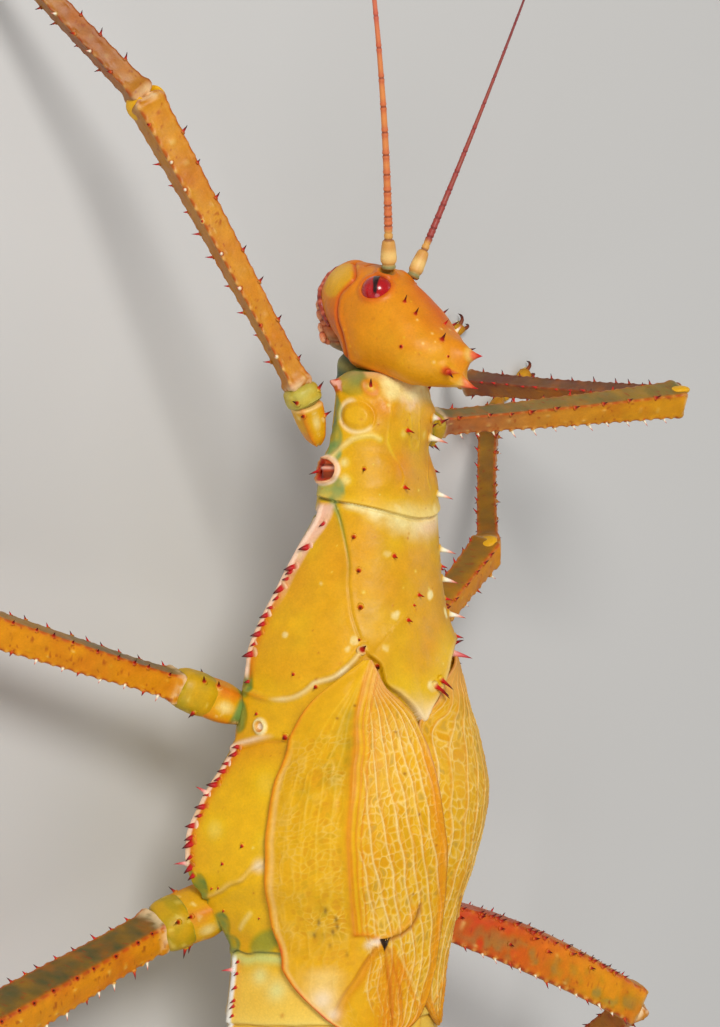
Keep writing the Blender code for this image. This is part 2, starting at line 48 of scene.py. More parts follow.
# ---------------------------------------------------------------- named sizes, in millimetres
# Stations along the trunk: y, half width at the side margin, margin height, back height, belly height, roundness.
TRUNK = (
    (-60.0, 6.8, 36.2, 42.6, 31.0, 2.2),
    (-55.0, 8.2, 36.0, 43.8, 29.8, 2.3),
    (-50.0, 8.9, 35.7, 44.2, 29.2, 2.4),
    (-44.0, 9.2, 35.3, 44.3, 28.8, 2.5),
    (-40.0, 9.7, 34.8, 44.4, 28.4, 2.5),
    (-35.0, 10.8, 32.0, 44.9, 26.4, 2.4),
    (-30.0, 12.1, 29.6, 45.4, 24.4, 2.3),
    (-20.0, 14.8, 26.2, 46.6, 20.8, 2.25),
    (-14.0, 15.4, 25.7, 47.2, 18.8, 2.25),
    (-8.4, 16.0, 25.0, 47.8, 17.5, 2.25),
    (0.0, 19.8, 22.0, 48.6, 15.2, 2.2),
    (5.0, 21.4, 20.9, 48.8, 14.6, 2.15),
    (9.0, 21.6, 21.0, 48.5, 14.6, 2.1),
    (14.0, 19.4, 22.8, 47.6, 15.5, 2.1),
    (21.5, 16.9, 25.5, 46.2, 17.0, 2.1),
    (30.0, 17.2, 25.0, 44.6, 17.2, 2.1),
    (38.0, 16.4, 25.0, 43.6, 17.8, 2.1),
    (45.0, 14.9, 25.2, 42.4, 18.6, 2.1),
    (53.0, 12.3, 25.5, 40.6, 19.8, 2.05),
    (60.0, 9.6, 25.7, 38.6, 21.0, 2.0),
    (68.0, 6.2, 25.9, 35.8, 22.4, 2.0),
)
COLUMNS = tuple(zip(*TRUNK))


def smooth(xs, ys, x):
    """A curve with no overshoot through the rows of a table."""
    xs, ys = np.asarray(xs, float), np.asarray(ys, float)
    x = np.clip(np.asarray(x, float), xs[0], xs[-1])
    h = np.diff(xs)
    d = np.diff(ys) / h
    m = np.zeros_like(ys)
    for i in range(1, len(xs) - 1):
        if d[i - 1] * d[i] > 0:
            a, b = 2 * h[i] + h[i - 1], h[i] + 2 * h[i - 1]
            m[i] = (a + b) / (a / d[i - 1] + b / d[i])
    m[0], m[-1] = d[0], d[-1]
    k = np.clip(np.searchsorted(xs, x, side="right") - 1, 0, len(h) - 1)
    t = (x - xs[k]) / h[k]
    return (
        (2 * t**3 - 3 * t**2 + 1) * ys[k]
        + (t**3 - 2 * t**2 + t) * h[k] * m[k]
        + (-2 * t**3 + 3 * t**2) * ys[k + 1]
        + (t**3 - t**2) * h[k] * m[k + 1]
    )


def trunk_sizes(y):
    return [smooth(COLUMNS[0], column, y) for column in COLUMNS[1:]]


BELLY_ROUNDNESS = 1.45


def trunk_point(y, turn, grow=0.0):
    """A point of the trunk's surface: turn is 0 on the back, +90 degrees at the left margin, 180 under the belly."""
    w, zc, zt, zb, n = trunk_sizes(y)
    s = np.abs(turn)
    up = s <= math.pi / 2
    a = np.where(up, s, s - math.pi / 2)
    sa, ca = np.sin(a), np.cos(a)
    sa, ca = np.clip(sa, 0, 1), np.clip(ca, 0, 1)
    e, f = 2 / n, 2 / BELLY_ROUNDNESS
    w, zt, zb = w + grow, zt + grow, zb - grow
    x = np.where(up, w * sa**e, w * ca**f)
    z = np.where(up, zc + (zt - zc) * ca**e, zc - (zc - zb) * sa**f)
    return x * np.sign(turn), np.asarray(y) + 0 * z, z


# Head: distance up its axis, half width, depth in front, depth behind, roundness.
MOUTH, CREST = (-71.9, 30.0), (-59.2, 51.0)
HEAD_LENGTH = math.hypot(CREST[0] - MOUTH[0], CREST[1] - MOUTH[1])
HEAD_UP = ((CREST[0] - MOUTH[0]) / HEAD_LENGTH, (CREST[1] - MOUTH[1]) / HEAD_LENGTH)
HEAD = (
    (-1.0, 1.6, 2.0, 0.8, 2.0),
    (0.0, 3.5, 4.1, 2.2, 2.1),
    (2.9, 5.1, 5.6, 4.3, 2.2),
    (5.8, 6.2, 6.7, 5.1, 2.3),
    (8.7, 6.7, 7.3, 5.7, 2.3),
    (11.6, 7.0, 7.0, 5.9, 2.3),
    (15.5, 6.7, 6.0, 5.4, 2.3),
    (19.4, 6.0, 4.5, 4.6, 2.2),
    (22.3, 4.2, 3.9, 3.4, 2.1),
    (24.5, 1.8, 1.7, 1.4, 2.0),
)
HEAD_COLUMNS = tuple(zip(*HEAD))


def head_point(s, turn, grow=0.0):
    """A point of the head: s runs from mouth to crest, turn is 0 on the face and 90 degrees on the left cheek."""
    hw, f, r, n = [smooth(HEAD_COLUMNS[0], column, s) for column in HEAD_COLUMNS[1:]]
    e = 2 / n
    sa, ca = np.sin(turn), np.cos(turn)
    x = (hw + grow) * np.sign(sa) * np.abs(sa) ** e
    # The head is turned a little, so its far side shows less between the feelers and the brow.
    x = x * np.where(x < 0, 1 - 0.19 * np.exp(-(((s - 9.0) / 4.6) ** 2)), 1.0)
    d = np.where(ca > 0, f + grow, r + grow) * np.sign(ca) * np.abs(ca) ** e
    far = np.clip((-sa - 0.0) / 0.65, 0, 1) * (ca > 0)
    d = d * (1 - 0.17 * np.exp(-(((s - 9.5) / 4.8) ** 2)) * far * far * (3 - 2 * far))
    y = MOUTH[0] + HEAD_UP[0] * s - HEAD_UP[1] * d
    z = MOUTH[1] + HEAD_UP[1] * s + HEAD_UP[0] * d
    return x, y, z

# Legs: where the hip leaves the trunk, the end of the hip piece, the knee and the ankle, then how the foot points (degrees
# from straight out, positive backwards) and its length. x is given outwards, so that one rule serves both sides.
ANKLE = 2.3
LEGS = {
    "fore_L": ((8.6, -50.6, 35.9), (13.5, -58.6, 33.9), (32.0, -96.0, 22.8), (52.6, -126.4, ANKLE), (-62.0, 15.0)),
    "fore_R": ((8.6, -50.6, 35.9), (13.6, -53.0, 35.0), (55.3, -57.5, 51.3), (57.0, -61.4, 8.6), (-50.0, 13.0)),
    "mid_L": ((14.6, -13.2, 22.8), (21.0, -15.9, 19.7), (55.0, -26.0, 14.2), (84.6, -31.4, ANKLE), (4.0, 15.0)),
    "mid_R": ((14.6, -12.6, 22.8), (21.0, -15.6, 20.6), (51.4, -34.5, 17.5), (71.6, -56.0, ANKLE), (-34.0, 15.0)),
    "hind_L": ((16.4, 14.8, 21.0), (21.4, 17.2, 16.6), (68.5, 31.3, 14.2), (91.0, 69.0, ANKLE), (50.0, 18.0)),
    "hind_R": ((16.4, 15.0, 21.6), (21.4, 17.6, 17.6), (61.9, 37.2, 38.6), (74.0, 62.6, ANKLE), (56.0, 18.0)),
}
# Half widths of the limb pieces: along each piece, from its base to its end, and how much deeper than wide it is.
LIMBS = {
    "fore": {"coxa": (2.1, 2.9, 2.7), "femur": (2.3, 2.75, 2.6, 2.5, 2.6, 2.9), "tibia": (1.9, 1.75, 1.65, 1.7, 1.9), "deep": 1.05},
    "mid": {"coxa": (2.1, 3.1, 2.8), "femur": (2.4, 2.8, 2.7, 2.6, 2.6, 2.9), "tibia": (1.9, 1.8, 1.7, 1.75, 2.0), "deep": 1.1},
    "hind": {"coxa": (2.5, 3.6, 3.2), "femur": (2.9, 3.7, 3.8, 3.5, 3.2, 3.4), "tibia": (2.3, 2.2, 2.1, 2.1, 2.3), "deep": 1.12},
}
SQUARE = 2.8  # how square a limb is in section


def unit(v):
    v = np.asarray(v, float)
    return v / np.linalg.norm(v)


def side_of(name):
    return 1.0 if name.endswith("_L") else -1.0


def leg_points(name):
    """Hip, hip end, knee, ankle and toe of a leg."""
    hip, base, knee, ankle, (bearing, length) = LEGS[name]
    s = side_of(name)
    points = [np.array((s * p[0], p[1], p[2])) for p in (hip, base, knee, ankle)]
    a = math.radians(bearing)
    toe = points[3] + length * np.array((s * math.cos(a), math.sin(a), 0.0))
    return points + [toe]


def frame_along(p, q):
    """Across and up directions for a limb that runs from p to q: up lies in the vertical plane of the limb."""
    along = unit(np.subtract(q, p))
    across = unit(np.cross(along, (0.0, 0.0, 1.0)))
    return along, across, np.cross(across, along)


def limb_ring(centre, across, up, half, deep, count, grow=0.0, square=SQUARE):
    turn = 2 * math.pi * (np.arange(count) + 0.5) / count
    c, s = np.cos(turn), np.sin(turn)
    e = 2 / square
    a = (half + grow) * np.sign(c) * np.abs(c) ** e
    b = (half * deep + grow) * np.sign(s) * np.abs(s) ** e
    return np.asarray(centre) + a[:, None] * across + b[:, None] * up


def limb_rings(p, q, halves, deep, count, steps, grow=0.0, round_start=0.0, round_end=0.0):
    """Rings along a limb piece, drawn in over round_start and round_end at its two ends."""
    p, q = np.asarray(p, float), np.asarray(q, float)
    along, across, up = frame_along(p, q)
    length = np.linalg.norm(q - p)
    at = np.linspace(0, 1, steps)
    extra = [r / length for r in (0.12 * round_start, 0.45 * round_start) if round_start]
    extra += [1 - r / length for r in (0.12 * round_end, 0.45 * round_end) if round_end]
    at = np.array(sorted(set(at) | set(extra)))
    half = smooth(np.linspace(0, 1, len(halves)), halves, at)
    for r, d in ((round_start, at * length), (round_end, (1 - at) * length)):
        if r:
            k = np.clip(d / r, 0, 1)
            half = half * np.sqrt(np.clip(1 - (1 - k) ** 2 * 0.82, 0, 1))
    start, end = p - along * grow, q + along * grow
    return [limb_ring(start + (end - start) * t, across, up, h, deep, count, grow) for t, h in zip(at, half)]

# Forewings: turn from the back of the inner and outer edge along the trunk, in degrees, and how far each stands off it.
WING_EDGES = (
    (-20.0, 33.0, 38.0), (-17.5, 29.5, 49.0), (-14.5, 22.0, 59.0), (-11.8, 14.5, 65.0), (-8.7, 9.5, 68.0), (-4.6, 6.5, 68.5),
    (0.3, 4.5, 66.5), (6.0, 3.2, 65.0), (12.0, 2.6, 66.5), (17.0, 2.4, 69.0), (20.0, 2.4, 68.5), (22.7, 2.4, 65.0),
    (25.6, 2.4, 58.5), (28.2, 4.0, 48.5), (30.3, 7.0, 38.0), (31.8, 12.0, 27.0),
)
WING_ROWS = (-20.0, -17.5, -14.5, -11.8, -8.7, -4.6, 0.3, 6.0, 12.0, 17.0, 20.0, 22.7, 25.6, 28.2, 30.3, 31.8)
WING_COLUMNS = 9
WING_CLEAR, WING_THICK = 0.4, 0.6
WING_COLUMN_TABLE = tuple(zip(*WING_EDGES))
# Extra height of the wing over the trunk, which gives room for the folded hindwing.
WING_LIFT = ((-20.0, 0.3), (-14.0, 1.1), (-8.0, 2.3), (-3.0, 2.7), (3.0, 2.1), (9.0, 1.2), (14.0, 0.7), (22.0, 0.3), (32.0, 0.2))
WING_LIFT_TABLE = tuple(zip(*WING_LIFT))


def wing_edges(y):
    return tuple(float(smooth(WING_COLUMN_TABLE[0], c, y)) for c in WING_COLUMN_TABLE[1:])


def wing_rise(y, turn):
    """Most over the shoulder of the wing, none at its outer edge."""
    lift = smooth(WING_LIFT_TABLE[0], WING_LIFT_TABLE[1], y)
    outer = np.clip((math.radians(70.0) - np.abs(turn)) / math.radians(34.0), 0, 1)
    return lift * (0.12 + 0.88 * outer * outer * (3 - 2 * outer))


# The right fore foot stands on its tip, so its heel is lifted.
FEET_LIFT = {"fore_R": 6.6}

# ---------------------------------------------------------------- colour, noise and mesh tools


def lin(*rgb):
    """Linear colour from 0 to 255 display values."""
    v = np.asarray(rgb, float) / 255
    return np.where(v <= 0.04045, v / 12.92, ((v + 0.055) / 1.055) ** 2.4)


OCHRE, AMBER, LEMON = lin(226, 166, 36), lin(222, 136, 26), lin(236, 190, 78)
CREAM, PALE, PINK = lin(247, 216, 150), lin(250, 232, 205), lin(244, 190, 158)
RED, CRIMSON, BLACK = lin(196, 34, 20), lin(150, 12, 22), lin(18, 8, 8)
OLIVE, GREEN, DEEP_GREEN = lin(140, 132, 46), lin(84, 120, 66), lin(34, 58, 38)
ORANGE, RUST, BROWN = lin(224, 112, 24), lin(168, 62, 22), lin(96, 38, 20)

RANDOM = np.random.default_rng(20)
LATTICE = RANDOM.random((40, 40, 40)) * 2 - 1


def noise(points, size, seed=0):
    """Smooth noise from -1 to 1 with grains of the given size."""
    q = np.asarray(points) / size + np.array((3.7, 9.1, 5.3)) * (seed + 1)
    i = np.floor(q).astype(np.int64)
    f = q - i
    f = f * f * (3 - 2 * f)
    total = 0.0
    for dx in (0, 1):
        wx = f[..., 0] if dx else 1 - f[..., 0]
        for dy in (0, 1):
            wy = f[..., 1] if dy else 1 - f[..., 1]
            for dz in (0, 1):
                wz = f[..., 2] if dz else 1 - f[..., 2]
                total = total + wx * wy * wz * LATTICE[(i[..., 0] + dx) % 40, (i[..., 1] + dy) % 40, (i[..., 2] + dz) % 40]
    return total


def fractal(points, size, octaves=3, seed=0):
    return sum(noise(points, size / 2**k, seed + k) / 2**k for k in range(octaves)) / (2 - 0.5 ** (octaves - 1))


def ramp(x, low, high):
    t = np.clip((x - low) / (high - low), 0, 1)
    return t * t * (3 - 2 * t)


def hump(d, r):
    return np.exp(-((d / r) ** 2))


def mix(base, colour, mask):
    """Paints colour over base in place."""
    base += np.clip(mask, 0, 1)[..., None] * (np.asarray(colour) - base)


def curve_through(points, step=0.25):
    """A smooth dense path through a few points."""
    p = np.asarray(points, float)
    run = np.concatenate([[0], np.cumsum(np.linalg.norm(np.diff(p, axis=0), axis=1))])
    count = max(int(run[-1] / step), 2 * len(p))
    at = np.linspace(0, run[-1], count)
    return np.stack([smooth(run, p[:, k], at) for k in range(p.shape[1])], -1)


def line_distance(a, b, path, reach=3.0):
    """For points (a, b) on a flat map: distance to a path, the run along it, and which side (positive to its left)."""
    best = np.full(a.shape, 1e3)
    along = np.zeros(a.shape)
    side = np.zeros(a.shape)
    low, high = path.min(0) - reach, path.max(0) + reach
    near = np.nonzero((a > low[0]) & (a < high[0]) & (b > low[1]) & (b < high[1]))
    if not len(near[0]):
        return best, along, side
    pa, pb = a[near], b[near]
    d = np.full(pa.shape, 1e3)
    s = np.zeros(pa.shape)
    w = np.zeros(pa.shape)
    run = 0.0
    for p, q in zip(path[:-1], path[1:]):
        v = q - p
        length = math.hypot(*v)
        if length == 0:
            continue
        t = np.clip(((pa - p[0]) * v[0] + (pb - p[1]) * v[1]) / length**2, 0, 1)
        e = np.hypot(pa - p[0] - t * v[0], pb - p[1] - t * v[1])
        closer = e < d
        d[closer] = e[closer]
        s[closer] = run + t[closer] * length
        w[closer] = np.sign(v[0] * (pb[closer] - p[1]) - v[1] * (pa[closer] - p[0]))
        run += length
    best[near], along[near], side[near] = d, s, w
    return best, along, side


def inside(a, b, path):
    """True within a closed path."""
    found = np.zeros(a.shape, bool)
    for p, q in zip(path, np.roll(path, -1, axis=0)):
        crosses = (p[1] > b) != (q[1] > b)
        with np.errstate(divide="ignore", invalid="ignore"):
            at = p[0] + (b - p[1]) * (q[0] - p[0]) / (q[1] - p[1])
        found ^= crosses & (a < at)
    return found


def signed_area(a, b, path):
    """Distance to a closed path, positive inside it."""
    closed = np.vstack([path, path[:1]])
    d, _, _ = line_distance(a, b, closed, 4.0)
    return np.where(inside(a, b, path), d, -d)


class Shell:
    """Points, faces, colours and a gloss value, gathered into one mesh."""

    def __init__(self):
        self.points, self.quads, self.tris, self.colours, self.gloss = [], [], [], [], []
        self.count = 0

    def add(self, points, quads, tris, colours, gloss=0.5):
        points = np.asarray(points, float).reshape(-1, 3)
        colours = np.broadcast_to(np.asarray(colours, float), points.shape)
        volume = 0.0
        if quads is not None and len(quads):
            q = np.asarray(quads)
            for k in ((0, 1, 2), (0, 2, 3)):
                volume += np.einsum("ij,ij->", points[q[:, k[0]]], np.cross(points[q[:, k[1]]], points[q[:, k[2]]]))
        if tris is not None and len(tris):
            t = np.asarray(tris)
            volume += np.einsum("ij,ij->", points[t[:, 0]], np.cross(points[t[:, 1]], points[t[:, 2]]))
        if quads is not None and len(quads):
            q = np.asarray(quads)
            self.quads.append((q[:, ::-1] if volume < 0 else q) + self.count)
        if tris is not None and len(tris):
            t = np.asarray(tris)
            self.tris.append((t[:, ::-1] if volume < 0 else t) + self.count)
        self.points.append(points)
        self.colours.append(colours)
        self.gloss.append(np.broadcast_to(np.asarray(gloss, float), (len(points),)))
        self.count += len(points)

    def object(self, name, boost=1.06, scale=(1.0, 1.0, 1.0)):
        points = (np.concatenate(self.points) + PLACE) * MM
        points[:, 2] = np.maximum(points[:, 2], 0.0)
        quads = np.concatenate(self.quads) if self.quads else np.zeros((0, 4), int)
        tris = np.concatenate(self.tris) if self.tris else np.zeros((0, 3), int)
        colours = np.concatenate(self.colours)
        # The studio light greys a surface a little, so the tints are stored slightly stronger.
        grey = (colours @ np.array((0.3, 0.59, 0.11)))[:, None]
        colours = (grey + (colours - grey) * boost) * scale
        return mesh_object(name, points, quads, tris, colours, np.concatenate(self.gloss))


def mesh_object(name, points, quads, tris, colours, gloss):
    data = bpy.data.meshes.new(name)
    data.vertices.add(len(points))
    data.vertices.foreach_set("co", np.ascontiguousarray(points, np.float32).ravel())
    loops = np.concatenate([quads.ravel(), tris.ravel()]).astype(np.int32)
    starts = np.concatenate([np.arange(len(quads)) * 4, len(quads) * 4 + np.arange(len(tris)) * 3]).astype(np.int32)
    data.loops.add(len(loops))
    data.loops.foreach_set("vertex_index", loops)
    data.polygons.add(len(starts))
    data.polygons.foreach_set("loop_start", starts)
    data.update(calc_edges=True)
    tint = data.color_attributes.new("tint", "FLOAT_COLOR", "POINT")
    tint.data.foreach_set("color", np.c_[np.clip(colours, 0.0015, 1), np.ones(len(points))].astype(np.float32).ravel())
    shine = data.attributes.new("shine", "FLOAT", "POINT")
    shine.data.foreach_set("value", np.ascontiguousarray(gloss, np.float32))
    thing = bpy.data.objects.new(name, data)
    bpy.context.scene.collection.objects.link(thing)
    data.shade_smooth()
    return thing


def ring_faces(rows, columns):
    """Faces of a tube whose rings close on themselves, with a fan over each end around two extra last points."""
    i, j = np.meshgrid(np.arange(rows - 1), np.arange(columns), indexing="ij")
    k = (j + 1) % columns
    quads = np.stack([i * columns + j, i * columns + k, (i + 1) * columns + k, (i + 1) * columns + j], -1).reshape(-1, 4)
    j = np.arange(columns)
    k = (j + 1) % columns
    first, last = rows * columns, rows * columns + 1
    tris = np.concatenate([np.stack([np.full(columns, first), k, j], -1), np.stack([np.full(columns, last), (rows - 1) * columns + j, (rows - 1) * columns + k], -1)])
    return quads, tris


def tube(points, colours, gloss, shell):
    """Adds a grid of rings (rows, columns, 3) as a closed tube."""
    rows, columns = points.shape[:2]
    quads, tris = ring_faces(rows, columns)
    ends = np.stack([points[0].mean(0), points[-1].mean(0)])
    gloss = np.broadcast_to(gloss, (rows, columns))
    shell.add(
        np.concatenate([points.reshape(-1, 3), ends]),
        quads,
        tris,
        np.concatenate([colours.reshape(-1, 3), colours[[0, -1]].mean(1)]),
        np.concatenate([gloss.reshape(-1), gloss[[0, -1]].mean(1)]),
    )


def grid_normals(points, closed):
    """Unit normals of a grid (rows, columns, 3), pointing away from its axis when closed."""
    du = np.gradient(points, axis=0)
    if closed:
        dv = np.roll(points, -1, axis=1) - np.roll(points, 1, axis=1)
    else:
        dv = np.gradient(points, axis=1)
    n = np.cross(du, dv)
    n /= np.linalg.norm(n, axis=-1, keepdims=True) + 1e-12
    if closed:
        away = points - points.mean(1, keepdims=True)
        if (n * away).sum() < 0:
            n = -n
    return n


# Every thorn is a cone with a flared foot, a slight bend and a painted tip. kinds: how the colour runs from foot to tip.
THORN_KINDS = {
    "ivory": (lin(250, 214, 150), lin(252, 226, 190), lin(252, 232, 216), lin(240, 160, 140), lin(176, 50, 44)),
    "gore": (lin(206, 70, 28), lin(196, 34, 22), lin(186, 24, 22), lin(120, 14, 16), lin(34, 6, 8)),
    "red": (lin(214, 84, 28), lin(206, 48, 24), lin(206, 34, 26), lin(170, 22, 22), lin(70, 12, 12)),
    "dark": (lin(206, 96, 24), lin(190, 52, 22), lin(140, 26, 18), lin(70, 14, 12), BLACK),
    "crown": (lin(228, 158, 40), lin(246, 212, 160), lin(244, 176, 130), lin(220, 60, 50), lin(170, 24, 34)),
    "small": (lin(226, 158, 40), lin(206, 82, 24), lin(184, 40, 20), lin(120, 20, 16), lin(70, 12, 10)),
    "rose": (lin(246, 206, 190), lin(240, 170, 160), lin(228, 110, 110), lin(200, 70, 76), lin(150, 40, 46)),
}


def thorn(shell, root, way, length, radius, kind, lean=None, sides=12, foot=None):
    """A thorn at root along way. lean bends its tip, foot tints the flared foot to match the skin."""
    way = unit(way)
    side = unit(np.cross(way, (0.31, 0.87, 0.38)))
    other = np.cross(way, side)
    sides = max(7, int(sides / (COARSE**0.5)))
    at = np.array((-0.16, 0.0, 0.04, 0.1, 0.2, 0.34, 0.5, 0.66, 0.8, 0.9, 0.97, 1.0))
    wide = np.interp(at, (-0.16, 0.0, 0.04, 0.1, 0.2, 0.34, 0.5, 0.66, 0.8, 0.9, 0.97, 1.0), (1.5, 1.3, 1.0, 0.8, 0.66, 0.54, 0.43, 0.31, 0.2, 0.11, 0.04, 0.012))
    bend = np.zeros(3) if lean is None else np.asarray(lean, float)
    turn = 2 * math.pi * np.arange(sides) / sides
    points = (
        np.asarray(root)
        + at[:, None, None] * length * way
        + (np.clip(at, 0, 1) ** 2)[:, None, None] * length * bend
        + (wide * radius)[:, None, None] * (np.cos(turn)[None, :, None] * side + np.sin(turn)[None, :, None] * other)
    )
    stops = np.array(THORN_KINDS[kind])
    if foot is not None:
        stops = np.vstack([foot, stops[1:]])
    shade = np.stack([np.interp(at, (0.0, 0.14, 0.38, 0.66, 0.9), stops[:, k]) for k in range(3)], -1)
    tube(points, np.repeat(shade[:, None, :], sides, axis=1), 0.7, shell)

# ---------------------------------------------------------------- trunk


def layout(point, stations, upper, lower):
    """Turns that space a station's ring evenly by arc: upper steps from the back to the margin, lower steps to the belly."""
    fine = np.linspace(0, math.pi, 1441)
    turns = np.zeros((len(stations), upper + lower + 1))
    arcs = np.zeros_like(turns)
    for i, at in enumerate(stations):
        x, _, z = point(np.full(1441, at), fine)
        run = np.concatenate([[0], np.cumsum(np.hypot(np.diff(x), np.diff(z)))])
        goal = np.concatenate([np.linspace(0, run[720], upper + 1), run[720] + (run[-1] - run[720]) * np.linspace(0, 1, lower + 1)[1:]])
        turns[i] = np.interp(goal, run, fine)
        arcs[i] = goal
    return turns, arcs


def both_sides(half):
    """A half ring's values for the whole ring: left side down, right side back up, the sign turned."""
    return np.concatenate([half, -half[:, -2:0:-1]], axis=1)


TRUNK_END = 67.9
TY = np.concatenate([
    np.arange(-60.0, -44.0, 0.17 * COARSE),
    np.arange(-44.0, -38.6, 0.09 * COARSE),
    np.arange(-38.6, -36.0, 0.15 * COARSE),
    np.arange(-36.0, 24.0, 0.2 * COARSE),
    np.arange(24.0, 46.0, 0.26 * COARSE),
    np.arange(46.0, TRUNK_END, 0.36 * COARSE),
    [TRUNK_END],
])
T_TURNS, T_ARCS = layout(trunk_point, TY, int(168 / COARSE), int(50 / COARSE))
T_TURN, T_ARC = both_sides(T_TURNS), both_sides(T_ARCS)
T_Y = np.repeat(TY[:, None], T_TURN.shape[1], axis=1)
T_DEG = np.degrees(T_TURN)


def arc_of(y, degrees):
    """Run along the surface from the middle of the back to a turn, positive on the left."""
    y, degrees = np.broadcast_arrays(np.asarray(y, float), np.asarray(degrees, float))
    out = np.empty(y.shape)
    for k in np.ndindex(y.shape):
        i = min(np.searchsorted(TY, y[k]), len(TY) - 1)
        out[k] = np.sign(degrees[k]) * np.interp(math.radians(abs(degrees[k])), T_TURNS[i], T_ARCS[i])
    return out


def on_map(points):
    """(station, turn in degrees) points on the flat map of the trunk, in millimetres."""
    p = np.asarray(points, float)
    return np.stack([p[:, 0], arc_of(p[:, 0], p[:, 1])], -1)


def trunk_line(points):
    return curve_through(on_map(points))


def trunk_ellipse(y, degrees, a, b, tilt=0.0, count=48):
    t = 2 * math.pi * np.arange(count) / count
    c, s = math.cos(math.radians(tilt)), math.sin(math.radians(tilt))
    u0 = float(arc_of(y, degrees))
    return np.stack([y + a * np.cos(t) * c - b * np.sin(t) * s, u0 + a * np.cos(t) * s + b * np.sin(t) * c], -1)


def spot_distance(y, degrees):
    return np.hypot(T_Y - y, T_ARC - float(arc_of(y, degrees)))


base = np.stack(trunk_point(T_Y, T_TURN), -1)
normals = grid_normals(base, True)
height = np.zeros(T_Y.shape)
paint = np.zeros(T_Y.shape + (3,))
paint[:] = OCHRE
shine = np.full(T_Y.shape, 0.55)
up_side = ramp(95 - np.abs(T_DEG), 0, 8)
fine_grain = fractal(base, 1.3, 3, 1)
broad_grain = fractal(base, 9.0, 3, 5)
mix(paint, AMBER, 0.3 + 0.45 * broad_grain)
mix(paint, LEMON, 0.24 * ramp(fractal(base, 5.0, 3, 9), 0.0, 0.7))
mix(paint, LEMON, 0.35 * ramp(T_Y, 20, 30))
mix(paint, lin(232, 176, 48), 0.5 * ramp(T_Y, -8, -4) * ramp(-T_Y, -20, -16))
mix(paint, lin(214, 150, 34), 0.5 * ramp(fractal(base, 2.2, 4, 15), 0.05, 0.6))
mix(paint, lin(231, 172, 44), 0.5 * ramp(T_Y, -19, -16) * ramp(-T_Y, 7, 10) * (np.abs(T_DEG) < 88))
mix(paint, lin(242, 178, 66), 0.35 * ramp(T_Y, -8, -4) * ramp(-T_Y, -18, -14) * (np.abs(T_DEG) < 88))
height += 0.035 * fractal(base, 0.9, 2, 3) + 0.08 * fractal(base, 4.0, 2, 4)
paint *= (1 + 0.09 * fine_grain)[..., None]
paint *= 1 - ramp(52 - np.abs(T_DEG), 0, 26)[..., None] * ramp(-T_Y, -20, -16)[..., None] * np.array((0.08, 0.09, 0.3))


def ridge(points, width, rise, colour=None, strength=0.8, spread=1.6, fade=None):
    """A raised line on both flanks or, where its turns are signed by the caller, on one."""
    d, s, _ = line_distance(T_Y, T_ARC, trunk_line(points))
    k = 1.0
    if fade is not None:
        k = 0.55 + 0.45 * np.sin(s * fade + 1.3)
    height[...] += rise * hump(d, width)
    if colour is not None:
        mix(paint, colour, strength * k * hump(d, width * spread))


def flipped(points):
    return [(y, -t) for y, t in points]


def lap(points, rise, behind, colour_edge=None, groove=0.1, colour_groove=None, front=1.0, ends=0.0):
    """A plate's rear edge that overlaps what follows: the plate side is raised and the line beyond it sunk. front is the
    side of the path that carries the plate."""
    d, s, w = line_distance(T_Y, T_ARC, trunk_line(points), 8.0)
    signed = d * w * front
    body = ramp(signed, -0.12, 0.2) * np.exp(-np.clip(signed, 0, None) / behind)
    if ends:
        body = body * ramp(s, 0.0, ends) * ramp(s.max() - s, 0.0, ends)
    height[...] += rise * np.where(d < 900, body, 0)
    height[...] -= groove * hump(signed + 0.16, 0.2) * (d < 900)
    if colour_edge is not None:
        mix(paint, colour_edge, 0.75 * ramp(signed, -0.02, 0.1) * np.exp(-np.clip(signed, 0, None) / (0.6 * behind)) * (d < 900))
    if colour_groove is not None:
        mix(paint, colour_groove, 0.7 * hump(signed + 0.12, 0.16) * (d < 900))
    return signed, d


SIDES_BOTH = (1, -1)

def far_slim(y, degrees):
    """How much the right flank of the rear half is drawn in: the insect stands rolled a little."""
    along = hump(y - 14.0, np.where(y < 14.0, 12.0, 20.0))
    return 1.9 * along * ramp(-degrees, 6, 34) * ramp(112 + degrees, 0, 40)


